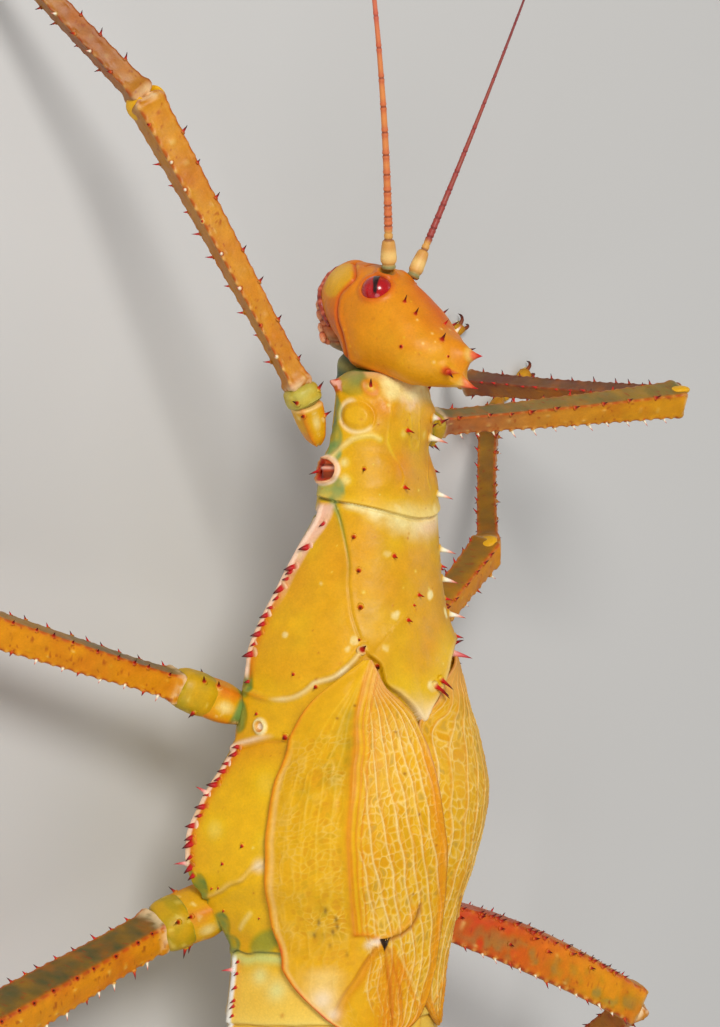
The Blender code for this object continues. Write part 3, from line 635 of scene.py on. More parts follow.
# Neck and the green lobe in front of the collar.
for s in SIDES_BOTH:
    collar = [(-59.7, 78), (-59.6, 43), (-59.3, 20), (-58.7, 0), (-59.3, -20), (-59.6, -43), (-59.7, -78)]
neck, _ = lap(collar, 0.35, 1.8, lin(250, 205, 170), 0.25, lin(150, 110, 60), front=1.0)
mix(paint, GREEN, 0.9 * ramp(-T_Y, 59.3, 60.0))
for s in SIDES_BOTH:
    lobe = signed_area(T_Y, T_ARC, trunk_ellipse(-58.2, 74 * s, 2.1, 2.5))
    height += 0.3 * ramp(lobe, -0.2, 0.9)
    mix(paint, GREEN, 0.75 * ramp(lobe, -0.3, 0.5) * (0.8 + 0.5 * fractal(base, 1.6, 2, 21)))
    # The nodule with the thorn, and the reddish knob beside the coxa.
    d = spot_distance(-57.2, 50 * s)
    height += 0.42 * hump(d, 1.0) + 0.1 * hump(d - 1.1, 0.3)
    mix(paint, lin(216, 120, 44), 0.8 * hump(d - 0.85, 0.42))
    mix(paint, lin(240, 180, 90), 0.6 * hump(d, 0.45))
    d = spot_distance(-57.7, 89 * s)
    height += (1.15 + 0.8 * fractal(base, 0.75, 2, 22)) * hump(d, 0.85)
    mix(paint, lin(196, 62, 56), 0.97 * ramp(1.3 - d, 0, 0.5) * (0.9 + 0.5 * fine_grain))
    mix(paint, lin(246, 176, 160), 0.8 * ramp(1.3 - d, 0, 0.5) * ramp(fractal(base, 0.6, 2, 23), 0.05, 0.4))
    # The oval plate over the fore hip with its pale rim.
    plate = signed_area(T_Y, T_ARC, trunk_ellipse(-53.4, 64 * s, 1.95, 2.25))
    height += 0.42 * ramp(plate, -0.15, 0.9) - 0.16 * hump(plate + 0.25, 0.22)
    mix(paint, lin(248, 206, 158), 0.9 * hump(plate + 0.3, 0.34) * ramp(T_Y + 0.18 * (np.abs(T_DEG) - 60), -55.2, -53.2))
    mix(paint, lin(230, 168, 38), 0.5 * ramp(plate, 0.3, 1.0))
    # Membranes round the fore hip and behind it.
    for y, t, a, b in ((-50.6, 95, 3.0, 2.6), (-48.4, 86, 1.5, 1.5), (-43.6, 88, 1.9, 3.0), (-42.6, 80, 1.1, 1.6), (-54.6, 97, 2.4, 1.9)):
        m = signed_area(T_Y, T_ARC, trunk_ellipse(y, t * s, a, b))
        mix(paint, lin(104, 146, 92), 0.85 * ramp(m, -0.35, 0.35) * (0.85 + 0.5 * fractal(base, 1.2, 2, 31)))
        height -= 0.12 * ramp(m, -0.2, 0.8)
        shine -= 0.2 * ramp(m, -0.2, 0.4)
    # The sunken hip joint plate: a pale raised rim, red inside, with a pink fold across it; the pink along the fold is
    # a painted highlight.
    socket = signed_area(T_Y, T_ARC, trunk_ellipse(-46.0, 97 * s, 1.7, 2.6, 0.0))
    height += 0.55 * hump(socket + 0.05, 0.27) * (1 + 0.5 * fractal(base, 1.0, 2, 33)) - 0.55 * ramp(socket, 0.15, 0.55) + 0.4 * hump(T_Y + 46.3, 0.2) * ramp(socket, 0.3, 0.6)
    mix(paint, lin(252, 206, 178), 0.9 * hump(socket + 0.18, 0.26))
    mix(paint, lin(210, 62, 34), 0.92 * ramp(socket, 0.05, 0.3))
    mix(paint, lin(110, 26, 30), 0.8 * ramp(socket, 0.5, 0.8) * ramp(T_Y + 45.9, 0.0, 0.4))
    mix(paint, lin(246, 186, 172), 0.8 * hump(T_Y + 46.15, 0.24) * ramp(socket, 0.3, 0.6))
    # Raised lines that divide the front plate.
    ridge([(-47.8, 87 * s), (-49.2, 77 * s), (-50.4, 64 * s), (-50.7, 48 * s), (-50.2, 38 * s)], 0.3, 0.2, lin(246, 206, 140), 0.75, 1.5)
    height += 0.25 * ramp(signed_area(T_Y, T_ARC, trunk_ellipse(-45.6, 52 * s, 3.6, 5.4)), -0.2, 1.6)
    ridge([(-56.0, 29 * s), (-54.1, 29 * s), (-52.0, 29 * s), (-49.9, 29 * s), (-48.1, 23 * s), (-46.7, 16 * s), (-44.8, 12 * s), (-43.6, 15 * s)], 0.2, 0.07, lin(246, 206, 124), 0.42, 1.3, 0.9)
    for y, t, r in ((-56.2, 28, 0.9), (-51.0, 12, 0.6), (-47.0, 74, 0.7), (-44.6, 72, 0.8)):
        mix(paint, CREAM, (0.6 + 0.6 * fine_grain) * hump(spot_distance(y, t * s), r))
    ridge([(-54.8, 6 * s), (-52.4, 4 * s), (-50.2, 5 * s), (-49.2, 4 * s)], 0.2, 0.06, lin(246, 204, 130), 0.15)
    bulge = signed_area(T_Y, T_ARC, trunk_ellipse(-55.2, 30 * s, 2.6, 1.8))
    height += 0.2 * ramp(bulge, -0.5, 1.2)
    mix(paint, lin(226, 120, 26), 0.5 * hump(spot_distance(-54.6, 38 * s), 1.7))
    mix(paint, lin(224, 126, 26), 0.5 * hump(spot_distance(-46.5, -6 + 20 * s), 2.4))
d = spot_distance(-49.6, 0)
height += 0.04 * hump(d - 0.75, 0.22)
mix(paint, lin(248, 210, 140), 0.1 * hump(d - 0.75, 0.3))

mix(paint, lin(248, 212, 150), 0.75 * ramp(-T_Y, 54.5, 57.5) * ramp(T_DEG + 30, 0, 20) * ramp(42 - T_DEG, 0, 14) * np.clip(0.75 + 0.9 * fractal(base, 2.0, 3, 24), 0, 1))
mix(paint, lin(250, 206, 176), 0.7 * hump(spot_distance(-55.6, 4), 2.0) * np.clip(0.7 + 1.1 * fractal(base, 1.2, 3, 25), 0, 1))
mix(paint, lin(222, 132, 30), 0.5 * hump(spot_distance(-51.5, -22), 2.6))
# The front plate's rear edge over the middle ring, with pale bands on both.
rear_edge = [(-42.3, 100), (-41.9, 84), (-41.1, 55), (-40.4, 33), (-39.7, 14), (-39.3, 0), (-39.5, -14), (-40.3, -33), (-41.1, -55), (-41.9, -84), (-42.3, -100)]
behind, d = lap(rear_edge, 0.55, 1.8, lin(236, 184, 96), 0.3, lin(140, 104, 50), front=-1.0)
near = (d < 900) & (np.abs(T_DEG) < 78)
band = 0.7 + 1.7 * ramp(60 - np.abs(T_DEG - 4), 0, 45)
mix(paint, lin(247, 220, 168), 0.92 * near * hump(np.clip(-behind - 0.15, 0, None), band) * (behind < 0) * ramp(78 - np.abs(T_DEG), 0, 14) * (0.85 + 0.6 * fine_grain))
mix(paint, lin(248, 212, 142), 0.66 * near * hump(behind - 0.6, 1.5) * ramp(50 - np.abs(T_DEG + 5), 0, 30) * np.clip(0.8 + 0.8 * fractal(base, 2.0, 3, 26), 0, 1))
mix(paint, lin(246, 190, 160), 0.6 * near * hump(behind + 1.3, 1.2) * ramp(26 - np.abs(T_DEG + 16), 0, 20))

flange = []
for s in SIDES_BOTH:
    # The green seam down the flank of the middle ring.
    seam, run, _ = line_distance(T_Y, T_ARC, trunk_line([(-41.7, 82 * s), (-39.6, 74 * s), (-36.5, 62 * s), (-33.1, 54 * s), (-29.9, 51 * s), (-26.8, 47 * s), (-24.5, 43 * s), (-22.9, 40 * s)]))
    height -= 0.17 * hump(seam, 0.15)
    height += 0.04 * hump(seam - 0.45, 0.35)
    mix(paint, lin(136, 126, 46), 0.7 * hump(seam, 0.13 + 0.4 * np.exp(-run / 2.5)) * (1 - 0.8 * ramp(run, 6, 13)))
    mix(paint, lin(104, 146, 92), 0.85 * hump(seam, 0.55) * np.exp(-run / 2.6))
    mix(paint, lin(214, 150, 50), 0.5 * hump(seam, 0.3) * ramp(run, 8, 14))
    # The pale ridge across the flank, from the middle hip up to the wing root.
    across = [(-15.5, 90 * s), (-14.5, 79 * s), (-14.7, 71 * s), (-15.6, 65 * s), (-16.9, 60 * s), (-17.7, 52 * s), (-19.3, 45 * s), (-20.6, 41 * s), (-21.8, 38 * s)]
    d, run, w = line_distance(T_Y, T_ARC, trunk_line(across), 5.0)
    height += 0.42 * hump(d, 0.42)
    height -= 0.16 * hump(np.where(w * s < 0, d, -d) - 0.7, 0.4) * (d < 900)
    patchy = 0.5 + 0.5 * np.clip(fractal(base, 2.2, 2, 41) * 1.6 + 0.35, 0, 1)
    mix(paint, lin(250, 218, 176), 0.95 * hump(d, 0.4) * patchy * ramp(run, 3.5, 7.5))
    mix(paint, lin(222, 128, 34), 0.55 * hump(d, 0.3) * ramp(6.5 - run, 0, 4))
    # The breathing hole behind the middle hip.
    d = spot_distance(-10.7, 82 * s)
    height += 0.55 * hump(d - 0.85, 0.24) - 0.25 * hump(d, 0.5)
    mix(paint, lin(250, 226, 176), 0.95 * hump(d - 0.95, 0.26))
    mix(paint, lin(250, 226, 206), 0.9 * ramp(0.6 - d, 0, 0.25))
    lower = ramp((T_Y + 10.4), -0.1, 0.4)
    mix(paint, lin(190, 50, 26), 0.95 * hump(d - 0.62, 0.17) * np.maximum(lower, 0.35))
    # The line between the middle and the rear ring of the thorax.
    line = [(-7.3, 97 * s), (-7.8, 90 * s), (-8.7, 85 * s), (-9.4, 78 * s), (-9.6, 72 * s), (-10.6, 66 * s)]
    d, run, w = line_distance(T_Y, T_ARC, trunk_line(line), 5.0)
    height += 0.3 * hump(d, 0.4)
    mix(paint, lin(248, 206, 176), 0.85 * hump(d, 0.42) * ramp(9.5 - run, 0, 5))
    d, run, w = line_distance(T_Y, T_ARC, trunk_line([(y + 0.75, t) for y, t in line]), 5.0)
    height -= 0.22 * hump(d, 0.26)
    mix(paint, lin(196, 122, 30), 0.5 * hump(d, 0.2))
    # Lines of the rear ring.
    line = [(13.0, 92 * s), (12.4, 86 * s), (11.5, 81 * s), (10.4, 76 * s), (9.8, 72 * s), (8.5, 69 * s), (7.3, 65 * s)]
    d, run, w = line_distance(T_Y, T_ARC, trunk_line(line), 5.0)
    height += 0.3 * hump(d, 0.4) - 0.2 * hump(np.where(w * s < 0, d, -d) + 0.65, 0.25) * (d < 900)
    mix(paint, lin(244, 190, 120), 0.7 * hump(d, 0.4) * (0.7 + 0.5 * fractal(base, 1.5, 2, 51)))
    mix(paint, lin(250, 214, 180), 0.85 * hump(spot_distance(7.8, 66 * s), 0.9))
    ridge([(16.9, 82 * s), (15.9, 79 * s), (14.7, 75 * s)], 0.3, 0.16, lin(246, 204, 130), 0.7)
    for y, t, r, c in ((3.4, 82, 1.6, 0.5), (-3.2, 72, 2.4, 0.3), (4.8, 64, 2.0, 0.3)):
        mix(paint, lin(244, 208, 116), c * hump(spot_distance(y, t * s), r))
    m = signed_area(T_Y, T_ARC, trunk_ellipse(18.6, 74 * s, 2.4, 1.5, 60 * s))
    mix(paint, lin(112, 132, 66), 0.7 * ramp(m, -0.8, 0.5))
    # Membranes round the middle and hind hips.
    for y, t, a, b in ((-17.4, 96, 3.0, 1.7), (-12.2, 99, 2.6, 1.9), (9.8, 98, 2.2, 1.4), (12.8, 98, 3.4, 1.8), (17.2, 94, 2.4, 1.8), (19.6, 96, 1.6, 2.2)):
        m = signed_area(T_Y, T_ARC, trunk_ellipse(y, t * s, a, b))
        mix(paint, lin(92, 130, 72), 0.85 * ramp(m, -0.3, 0.4) * (0.85 + 0.5 * fractal(base, 1.2, 2, 31)))
        height -= 0.15 * ramp(m, -0.2, 0.8)
        shine -= 0.2 * ramp(m, -0.2, 0.4)
    # The flange along the margin: pinkish white outside, rust red inside.
    edge = np.abs(T_DEG) * (np.sign(T_DEG) == s)
    for low, high, soft in ((-41.6, -16.6, 1.2), (-8.4, 9.6, 1.0), (20.6, 60.0, 1.0)):
        along = ramp(T_Y, low, low + soft) * ramp(-T_Y, -high, -high + soft)
        outer = arc_of(TY, 90.0)[:, None]
        gap = T_ARC * s - outer
        height += 0.3 * along * hump(gap, 0.5)
        white = lin(248, 200, 178) if high < 15 else lin(236, 222, 220)
        wide = 2.1 * (1 - 0.45 * ramp(T_Y, -36, -28) * ramp(-T_Y, 16, 20)) if low < -20 else (1.0 if low < 0 else 1.3)
        mix(paint, lin(198, 70, 26), 0.72 * along * hump(gap + 0.75, 0.3) * (0.75 + 0.6 * fractal(base, 0.9, 2, 61)))
        mix(paint, lin(226, 130, 34), 0.5 * along * hump(gap + 1.1, 0.6))
        flange.append((white, along * ramp(gap, -0.62, -0.4) * ramp(wide - gap, 0, 0.35)))
    ribbon = T_ARC * s - arc_of(TY, 85.0)[:, None] + 0.9 * ramp(-T_Y, 33, 41)
    mix(paint, lin(248, 192, 172), 0.85 * ramp(ribbon, -0.5, 0.4) * ramp(T_Y, -41.8, -40.8) * ramp(-T_Y, 24, 36) * ramp(4.5 - ribbon, 0, 1) * (0.85 + 0.3 * fine_grain))

# The middle ring's rear lobe over the wing roots.
LOBE = [(-22.4, 41), (-20.8, 36), (-19.3, 30), (-17.0, 28), (-15.2, 20), (-13.5, 14), (-11.4, 8.5), (-13.4, 3), (-15.2, -2), (-16.6, -6), (-18.2, -10), (-20.0, -14), (-21.8, -24), (-22.4, -41)]
signed, d = lap(LOBE, 1.2, 2.8, None, 0.0, front=-1.0, ends=3.0)
rear = (d < 900) & (signed > -0.1)
tip = np.exp(-((np.hypot(T_Y + 12.2, T_ARC - float(arc_of(-12.2, 8)))) / 2.2) ** 2)
mix(paint, lin(246, 206, 172), rear * (0.8 * tip + 0.4 * hump(signed - 0.2, 0.5) * ramp(30 - np.abs(T_DEG), 0, 12)))
mix(paint, lin(240, 190, 92), 0.35 * rear * hump(signed - 1.5, 2.0) * ramp(30 - np.abs(T_DEG), 0, 12))

# Cream blotches beside the thorns and small dots.
for y, t, r, k in ((-34.5, 27, 0.7, 0.7), (-28.7, -4, 0.75, 1.0), (-26.1, 21, 0.8, 0.95), (-21.6, 27, 0.55, 0.6), (-22.6, 43, 0.6, 0.8), (-16.2, 2, 0.8, 1.0), (-23.4, 77, 0.5, 0.9), (-30.4, 68, 0.35, 0.8), (-34.3, 88, 0.6, 0.6), (-40.6, 20, 0.8, 0.5), (-21.6, 46, 0.45, 0.6), (-18.8, 34, 0.55, 0.6), (-37.2, 92, 0.6, 0.6)):
    for s in SIDES_BOTH if abs(t) > 12 else (1,):
        mix(paint, lin(249, 214, 158), 0.9 * k * ramp(0.95 * r - spot_distance(y, t * s) + 0.4 * fractal(base, 0.9, 2, 16), -0.15, 0.4) * (0.8 + 0.9 * fine_grain))
        height += 0.1 * k * hump(spot_distance(y, t * s), 0.5 * r)
for k in range(150):
    y, t = RANDOM.uniform(-58, 20), RANDOM.uniform(-92, 92)
    size = RANDOM.uniform(0.1, 0.2)
    colour = (lin(176, 84, 24), lin(246, 214, 130), lin(200, 120, 30))[k % 3]
    mix(paint, colour, 0.65 * hump(spot_distance(y, t), size))
    if k % 3 == 0:
        height += 0.05 * hump(spot_distance(y, t), size * 1.3)

# Abdomen: rings that overlap backwards, a blue-green seam at its root, and the keel that runs along each side.
mix(paint, lin(246, 192, 104), 0.72 * ramp(T_Y, 20.6, 24) * up_side)
first = [(20.6, 100), (20.2, 88), (20.5, 84), (20.1, 79), (20.0, 70), (20.1, 50), (20.2, 0), (20.1, -50), (20.0, -70), (20.1, -79), (20.5, -84), (20.2, -88), (20.6, -100)]
signed, d = lap(first, 0.35, 1.4, None, 0.4, lin(70, 82, 46), front=-1.0)
mix(paint, lin(206, 218, 150), 0.6 * (d < 900) * hump(-signed - 0.9, 0.8))
RINGS = (29.5, 37.5, 45.2, 52.3, 58.4, 63.6)
for k, y in enumerate(RINGS):
    path = [(y + 0.9, 100), (y + 0.7, 80), (y + 0.2, 50), (y, 0), (y + 0.2, -50), (y + 0.7, -80), (y + 0.9, -100)]
    signed, d = lap(path, 0.34, 2.2, lin(244, 204, 120), 0.26, lin(170, 112, 48), front=-1.0)
    belly = ramp(np.abs(T_DEG), 96, 104)
    height -= 0.3 * belly * hump(T_Y - y - 0.4, 0.3)
    height += 0.14 * belly * hump(T_Y - y + 0.6, 0.8)
    mix(paint, lin(140, 96, 40), 0.5 * belly * hump(T_Y - y - 0.4, 0.3))
    for s in SIDES_BOTH:
        mix(paint, lin(184, 74, 28), 0.5 * hump(spot_distance(y - 1.2, 42 * s), 0.35))
        mix(paint, lin(184, 74, 28), 0.5 * hump(spot_distance(y - 1.0, 66 * s), 0.3))
for y, t, r in ((23.4, 78, 1.2), (25.2, 70, 1.4), (31.5, 60, 1.0)):
    for s in SIDES_BOTH:
        mix(paint, lin(222, 226, 170), 0.45 * hump(spot_distance(y, t * s), r))
height += 0.16 * hump(T_ARC, 0.45) * ramp(T_Y, 24, 30)
mix(paint, lin(226, 140, 40), 0.4 * hump(T_ARC, 0.5) * ramp(T_Y, 24, 30))

# Underside: paler, greener, with the thorax plates parted by membranes.
under = ramp(np.abs(T_DEG), 96, 112)
mix(paint, lin(196, 160, 66), 0.6 * under)
mix(paint, lin(122, 132, 70), 0.45 * under * ramp(fractal(base, 7.0, 3, 71), -0.2, 0.5))
for y, k in ((-50.5, 0.25), (-39.5, 0.5), (-20.5, 0.3), (-8.4, 0.5), (6.0, 0.25), (20.2, 0.4)):
    bow = y + 1.2 * np.cos(np.radians(T_DEG))
    height -= k * under * hump(T_Y - bow, 0.35)
    mix(paint, lin(86, 100, 52), 0.8 * k * under * hump(T_Y - bow, 0.6))
middle = arc_of(TY, 180.0)[:, None] - np.abs(T_ARC)
height += 0.2 * under * hump(middle, 0.5) - 0.15 * under * hump(middle - 1.2, 0.4)
mix(paint, lin(214, 150, 70), 0.4 * under * hump(middle, 0.7))

# The hip joint plate painted again over the membranes: pink and pale rim, red inside, dark lines, and the pink along
# the fold, which is a painted highlight.
for s in SIDES_BOTH:
    socket = signed_area(T_Y, T_ARC, trunk_ellipse(-46.0, 97 * s, 1.7, 2.6, 0.0))
    mix(paint, lin(244, 168, 132), 0.9 * hump(socket + 0.2, 0.24))
    mix(paint, lin(252, 218, 190), 0.8 * hump(socket + 0.34, 0.14))
    mix(paint, lin(196, 44, 30), 0.94 * ramp(socket, -0.02, 0.2))
    mix(paint, lin(226, 96, 52), 0.7 * ramp(socket, 0.25, 0.5) * ramp(-46.5 - T_Y, 0.0, 0.3))
    mix(paint, lin(74, 12, 16), 0.9 * hump(T_Y + 46.72, 0.14) * ramp(socket, 0.2, 0.4))
    mix(paint, lin(248, 190, 172), 0.9 * hump(T_Y + 46.3, 0.22) * ramp(socket, 0.2, 0.45))
    mix(paint, lin(96, 18, 20), 0.85 * ramp(socket, 0.3, 0.6) * ramp(T_Y + 46.0, 0.0, 0.25))

# Orange warmth where the flanks turn down.
mix(paint, lin(220, 128, 26), 0.16 * ramp(np.abs(T_DEG), 62, 92) * (1 - under) * ramp(fractal(base, 6.0, 2, 81), -0.3, 0.5))

for white, where in flange:
    mix(paint, white, 0.93 * where * (0.88 + 0.3 * fine_grain))
# Painted light: the collar under the head is painted paler cream than its own colour, to cancel the shadow the head
# casts on it.
mix(paint, lin(255, 226, 164), 0.75 * ramp(-T_Y, 55.0, 56.6) * ramp(59.6 + T_Y, 0, 0.6) * ramp(T_DEG + 34, 0, 20) * ramp(44 - T_DEG, 0, 14) * np.clip(0.8 + 0.9 * fractal(base, 1.4, 3, 24), 0, 1))
paint *= 1 - (ramp(-T_Y, 43, 46) * ramp(T_Y, -53, -50) * ramp(70 - np.abs(T_DEG), 0, 16))[..., None] * np.array((0.05, 0.05, 0.28))

# The flank is hollow where the fore hips spring from it.
height -= 2.3 * ramp(np.abs(T_DEG), 84, 104) * ramp(168 - np.abs(T_DEG), 0, 26) * hump(T_Y + 53.2, 4.2)
height += 0.7 * hump(np.abs(T_DEG) - 98, 14) * hump(T_Y + 45.9, 2.2)
height -= far_slim(T_Y, T_DEG)
# The front plate narrows behind its shoulders.
height -= 0.95 * hump(T_Y + 48.6, 2.6) * hump(T_DEG + 38, 34)
height -= 0.45 * hump(T_Y + 48.6, 2.6) * hump(T_DEG - 38, 30)
height += 0.5 * hump(T_Y + 54.2, 1.5) * (hump(T_DEG + 28, 13) + 0.6 * hump(T_DEG - 28, 13))
skin = Shell()
trunk_surface = base + normals * height[..., None]
# The front rim turns in towards the neck.
turn_in = np.clip((-57.9 - T_Y) / 2.1, 0, 1)
middle_z = (trunk_surface[..., 2].max(1) + trunk_surface[..., 2].min(1))[:, None] / 2
shrink = np.sqrt(1 - 0.62 * turn_in**2)
trunk_surface[..., 0] *= shrink
trunk_surface[..., 2] = middle_z + (trunk_surface[..., 2] - middle_z) * shrink
tube(trunk_surface, paint, shine, skin)


def on_trunk(y, degrees):
    """A place on the finished trunk and its outward direction."""
    i = min(np.searchsorted(TY, y), len(TY) - 1)
    j = int(np.argmin(np.abs(T_DEG[i] - degrees)))
    return trunk_surface[i, j], normals[i, j], paint[i, j]


def trunk_thorn(y, degrees, length, radius, kind, back=0.25, up=0.0, sunk=0.0):
    p, n, c = on_trunk(y, degrees)
    p = p - n * sunk
    way = n + np.array((0.0, back, up))
    thorn(skin, p, way, length, radius, kind, lean=(0, 0.12, 0), foot=c)


# Thorns of the back. The insect stands rolled a little to its right, so the two sides' rows are listed apart.
for y, t, length, radius, kind in (
    (-51.6, 9, 1.6, 0.36, "red"), (-50.8, -27, 2.8, 0.6, "ivory"), (-43.7, 12, 1.3, 0.34, "red"), (-42.8, -32, 2.4, 0.5, "ivory"),
    (-34.3, 22, 1.2, 0.34, "red"), (-28.9, 4, 1.2, 0.3, "red"), (-25.4, 13, 1.2, 0.32, "red"), (-27.4, 8, 0.6, 0.2, "red"),
    (-35.0, -33, 2.4, 0.52, "ivory"), (-30.8, -32, 2.4, 0.52, "ivory"), (-25.8, -31, 2.5, 0.54, "ivory"), (-32.7, -34, 1.0, 0.3, "red"),
    (-28.0, -33, 1.1, 0.32, "red"), (-22.7, -33, 1.2, 0.34, "red"), (-20.5, -27, 3.0, 0.66, "rose"), (-53.4, -26, 1.3, 0.6, "ivory"),
):
    trunk_thorn(y, t, length, radius, kind)
for y, t, length, radius, kind in (
    (-46.2, 54, 1.0, 0.3, "dark"), (-36.9, 56, 0.9, 0.36, "small"), (-32.2, 47, 0.9, 0.38, "small"), (-27.2, 42, 1.0, 0.42, "small"),
    (-22.9, 41, 0.5, 0.22, "dark"), (-19.2, 31, 1.3, 0.42, "dark"), (-57.3, 50, 1.8, 0.36, "dark"),
):
    for s in SIDES_BOTH:
        trunk_thorn(y, t * s, length, radius, kind, -1.0 if y < -57 else 0.25, 0.0, 0.3 if y < -57 else 0.0)
for s in SIDES_BOTH:
    trunk_thorn(-21.5, 39 * s, 2.1, 0.5, "gore", -0.55, 0.5, 0.2)
    trunk_thorn(-46.0, 118 * s, 1.5, 0.34, "gore", 0.3, 0.0, 0.15)
trunk_thorn(-16.3, 0.5, 2.6, 0.44, "gore", 0.5)
trunk_thorn(-17.0, -3.0, 2.4, 0.42, "gore", 0.6)
trunk_thorn(-15.6, -2.0, 1.7, 0.36, "gore", 0.8)

def inset_turn(y, inset):
    """The turn that lies this many millimetres above the side margin."""
    i = min(np.searchsorted(TY, y), len(TY) - 1)
    edge_arc = np.interp(math.pi / 2, T_TURNS[i], T_ARCS[i])
    return float(np.degrees(np.interp(edge_arc - inset, T_ARCS[i], T_TURNS[i])))


# Thorns of the side margins: uneven clusters, each red with a dark tip, and the small dots on the flanks.
MARGIN_THORNS = (
    (-38.6, 84.5, 1.0), (-35.3, 84.5, 1.15), (-32.9, 85, 1.25), (-31.9, 86.5, 0.8), (-30.9, 85, 0.95), (-29.9, 86, 1.25), (-28.6, 85.5, 1.0), (-27.3, 86.5, 0.8), (-26.2, 86, 1.2),
    (-24.9, 86.5, 0.9), (-23.6, 87, 1.2), (-22.2, 87.5, 0.75), (-20.6, 88, 1.2), (-17.0, 89, 0.8), (-7.9, 86, 0.9), (-6.7, 87, 1.2), (-5.6, 87.5, 0.8), (-4.6, 88, 1.15), (-3.7, 88, 0.7),
    (-2.6, 88, 1.1), (-1.2, 88, 0.85), (0.2, 88, 1.2), (1.6, 87.5, 0.8), (2.9, 87.5, 1.1), (4.3, 87, 0.9), (5.6, 87, 1.2), (7.0, 86.5, 0.8), (8.6, 86, 1.1), (9.7, 86, 0.8),
)
for y, t, big in MARGIN_THORNS:
    for s in SIDES_BOTH:
        size = big * RANDOM.uniform(0.75, 1.2)
        inset = RANDOM.uniform(0.45, 0.85) + 0.9 * float(ramp(-y, 31, 38))
        trunk_thorn(y + RANDOM.uniform(-0.25, 0.25), s * inset_turn(y, inset), 1.3 * size, 0.56 * size, "gore", RANDOM.uniform(0.2, 0.7), -0.5, 0.3 * size)
for y in np.arange(22.0, 58.0, 1.5):
    for s in SIDES_BOTH:
        trunk_thorn(y + RANDOM.uniform(-0.4, 0.4), s * inset_turn(y, 0.75), 0.8 * RANDOM.uniform(0.7, 1.3), 0.34, "gore", 0.4, -0.4, 0.15)
for y in (-1.4, 8.2, 22.9):
    for s in SIDES_BOTH:
        trunk_thorn(y, 91 * s, 1.9, 0.36, "rose", -0.1)
for y, t, length, radius in (
    (-18.1, 70, 0.5, 0.3), (-16.4, 60, 0.9, 0.34), (-12.5, 84, 0.5, 0.28), (-12.7, 53, 0.5, 0.28), (-9.4, 71, 0.8, 0.5), (5.1, 72, 0.6, 0.32), (7.7, 78, 0.5, 0.28),
    (11.1, 81, 0.35, 0.2), (11.3, 84, 0.35, 0.2), (14.6, 85, 0.4, 0.22), (15.1, 72, 0.3, 0.18), (-17.4, 47, 0.5, 0.26),
):
    for s in SIDES_BOTH:
        trunk_thorn(y, t * s, length, radius, "small", 0.3)

# ---------------------------------------------------------------- head
HS = np.concatenate([np.arange(-0.95, 23.0, 0.115 * COARSE), np.arange(23.0, 24.45, 0.07 * COARSE), [24.45]])
columns = int(300 / COARSE)
H_TURN = np.repeat((2 * math.pi * np.arange(columns) / columns - math.pi)[None, :], len(HS), axis=0)
# Even spacing by arc, so that the painted lines stay crisp on the cheeks.
for i, s in enumerate(HS):
    fine = np.linspace(-math.pi, math.pi, 1441)
    p = np.stack(head_point(np.full(1441, s), fine), -1)
    run = np.concatenate([[0], np.cumsum(np.linalg.norm(np.diff(p, axis=0), axis=1))])
    H_TURN[i] = np.interp(run[-1] * np.arange(columns) / columns, run, fine)
H_S = np.repeat(HS[:, None], columns, axis=1)
H_DEG = np.degrees(H_TURN)
h_base = np.stack(head_point(H_S, H_TURN), -1)
h_normals = grid_normals(h_base, True)
h_height = np.zeros(H_S.shape)
h_paint = np.zeros(H_S.shape + (3,))
h_shine = np.full(H_S.shape, 0.6)
EYE_AT, EYE_RADIUS, EYE_SUNK = (10.0, 46.5), 2.2, 0.95
FEELER_LENGTH, FEELER_SEAT = 58.0, (8.7, 20.0)


def head_place(s, degrees):
    return np.array(head_point(s, math.radians(degrees))).ravel()


def head_outward(s, turn, up=0.0):
    p = np.array(head_point(s, turn)).ravel()
    middle = np.array((0.0, MOUTH[0] + HEAD_UP[0] * s, MOUTH[1] + HEAD_UP[1] * s))
    return p, unit(unit(p - middle) + up * np.array((0.0, HEAD_UP[0], HEAD_UP[1])))


def near_head(s, degrees):
    """Straight distance on the bare head from a place given by height and turn."""
    return np.linalg.norm(h_base - head_place(s, degrees), axis=-1)


def head_path(points, step=0.25):
    p = curve_through(np.asarray(points, float), 0.5)
    return np.array([head_place(s, t) for s, t in p])


def near_head_path(points):
    path = head_path(points)
    best = np.full(H_S.shape, 1e3)
    for p, q in zip(path[:-1], path[1:]):
        v = q - p
        t = np.clip(((h_base - p) @ v) / max(v @ v, 1e-9), 0, 1)
        best = np.minimum(best, np.linalg.norm(h_base - p - t[..., None] * v, axis=-1))
    return best


h_fine = fractal(h_base, 0.9, 3, 2)
h_broad = fractal(h_base, 5.0, 3, 7)
h_paint[:] = lin(224, 144, 32)
mix(h_paint, lin(228, 164, 38), 0.75 * ramp(H_S, 9, 22) * ramp(np.abs(H_DEG), 20, 60))
mix(h_paint, lin(216, 118, 26), 0.5 * ramp(h_broad, -0.1, 0.6))
mix(h_paint, lin(206, 84, 26), 0.6 * hump(H_DEG + 8, 15) * ramp(H_S, 9, 12) * ramp(-H_S, -22, -17))
mix(h_paint, lin(204, 90, 30), 0.5 * hump(np.abs(H_DEG), 30) * ramp(7.5 - H_S, 0, 2) * ramp(H_S, 2, 4))
mix(h_paint, lin(204, 76, 26), 0.35 * hump(H_DEG + 30, 26) * ramp(H_S, 8, 11))
h_height += 0.025 * fractal(h_base, 0.7, 2, 6) + 0.06 * fractal(h_base, 3.0, 2, 8)

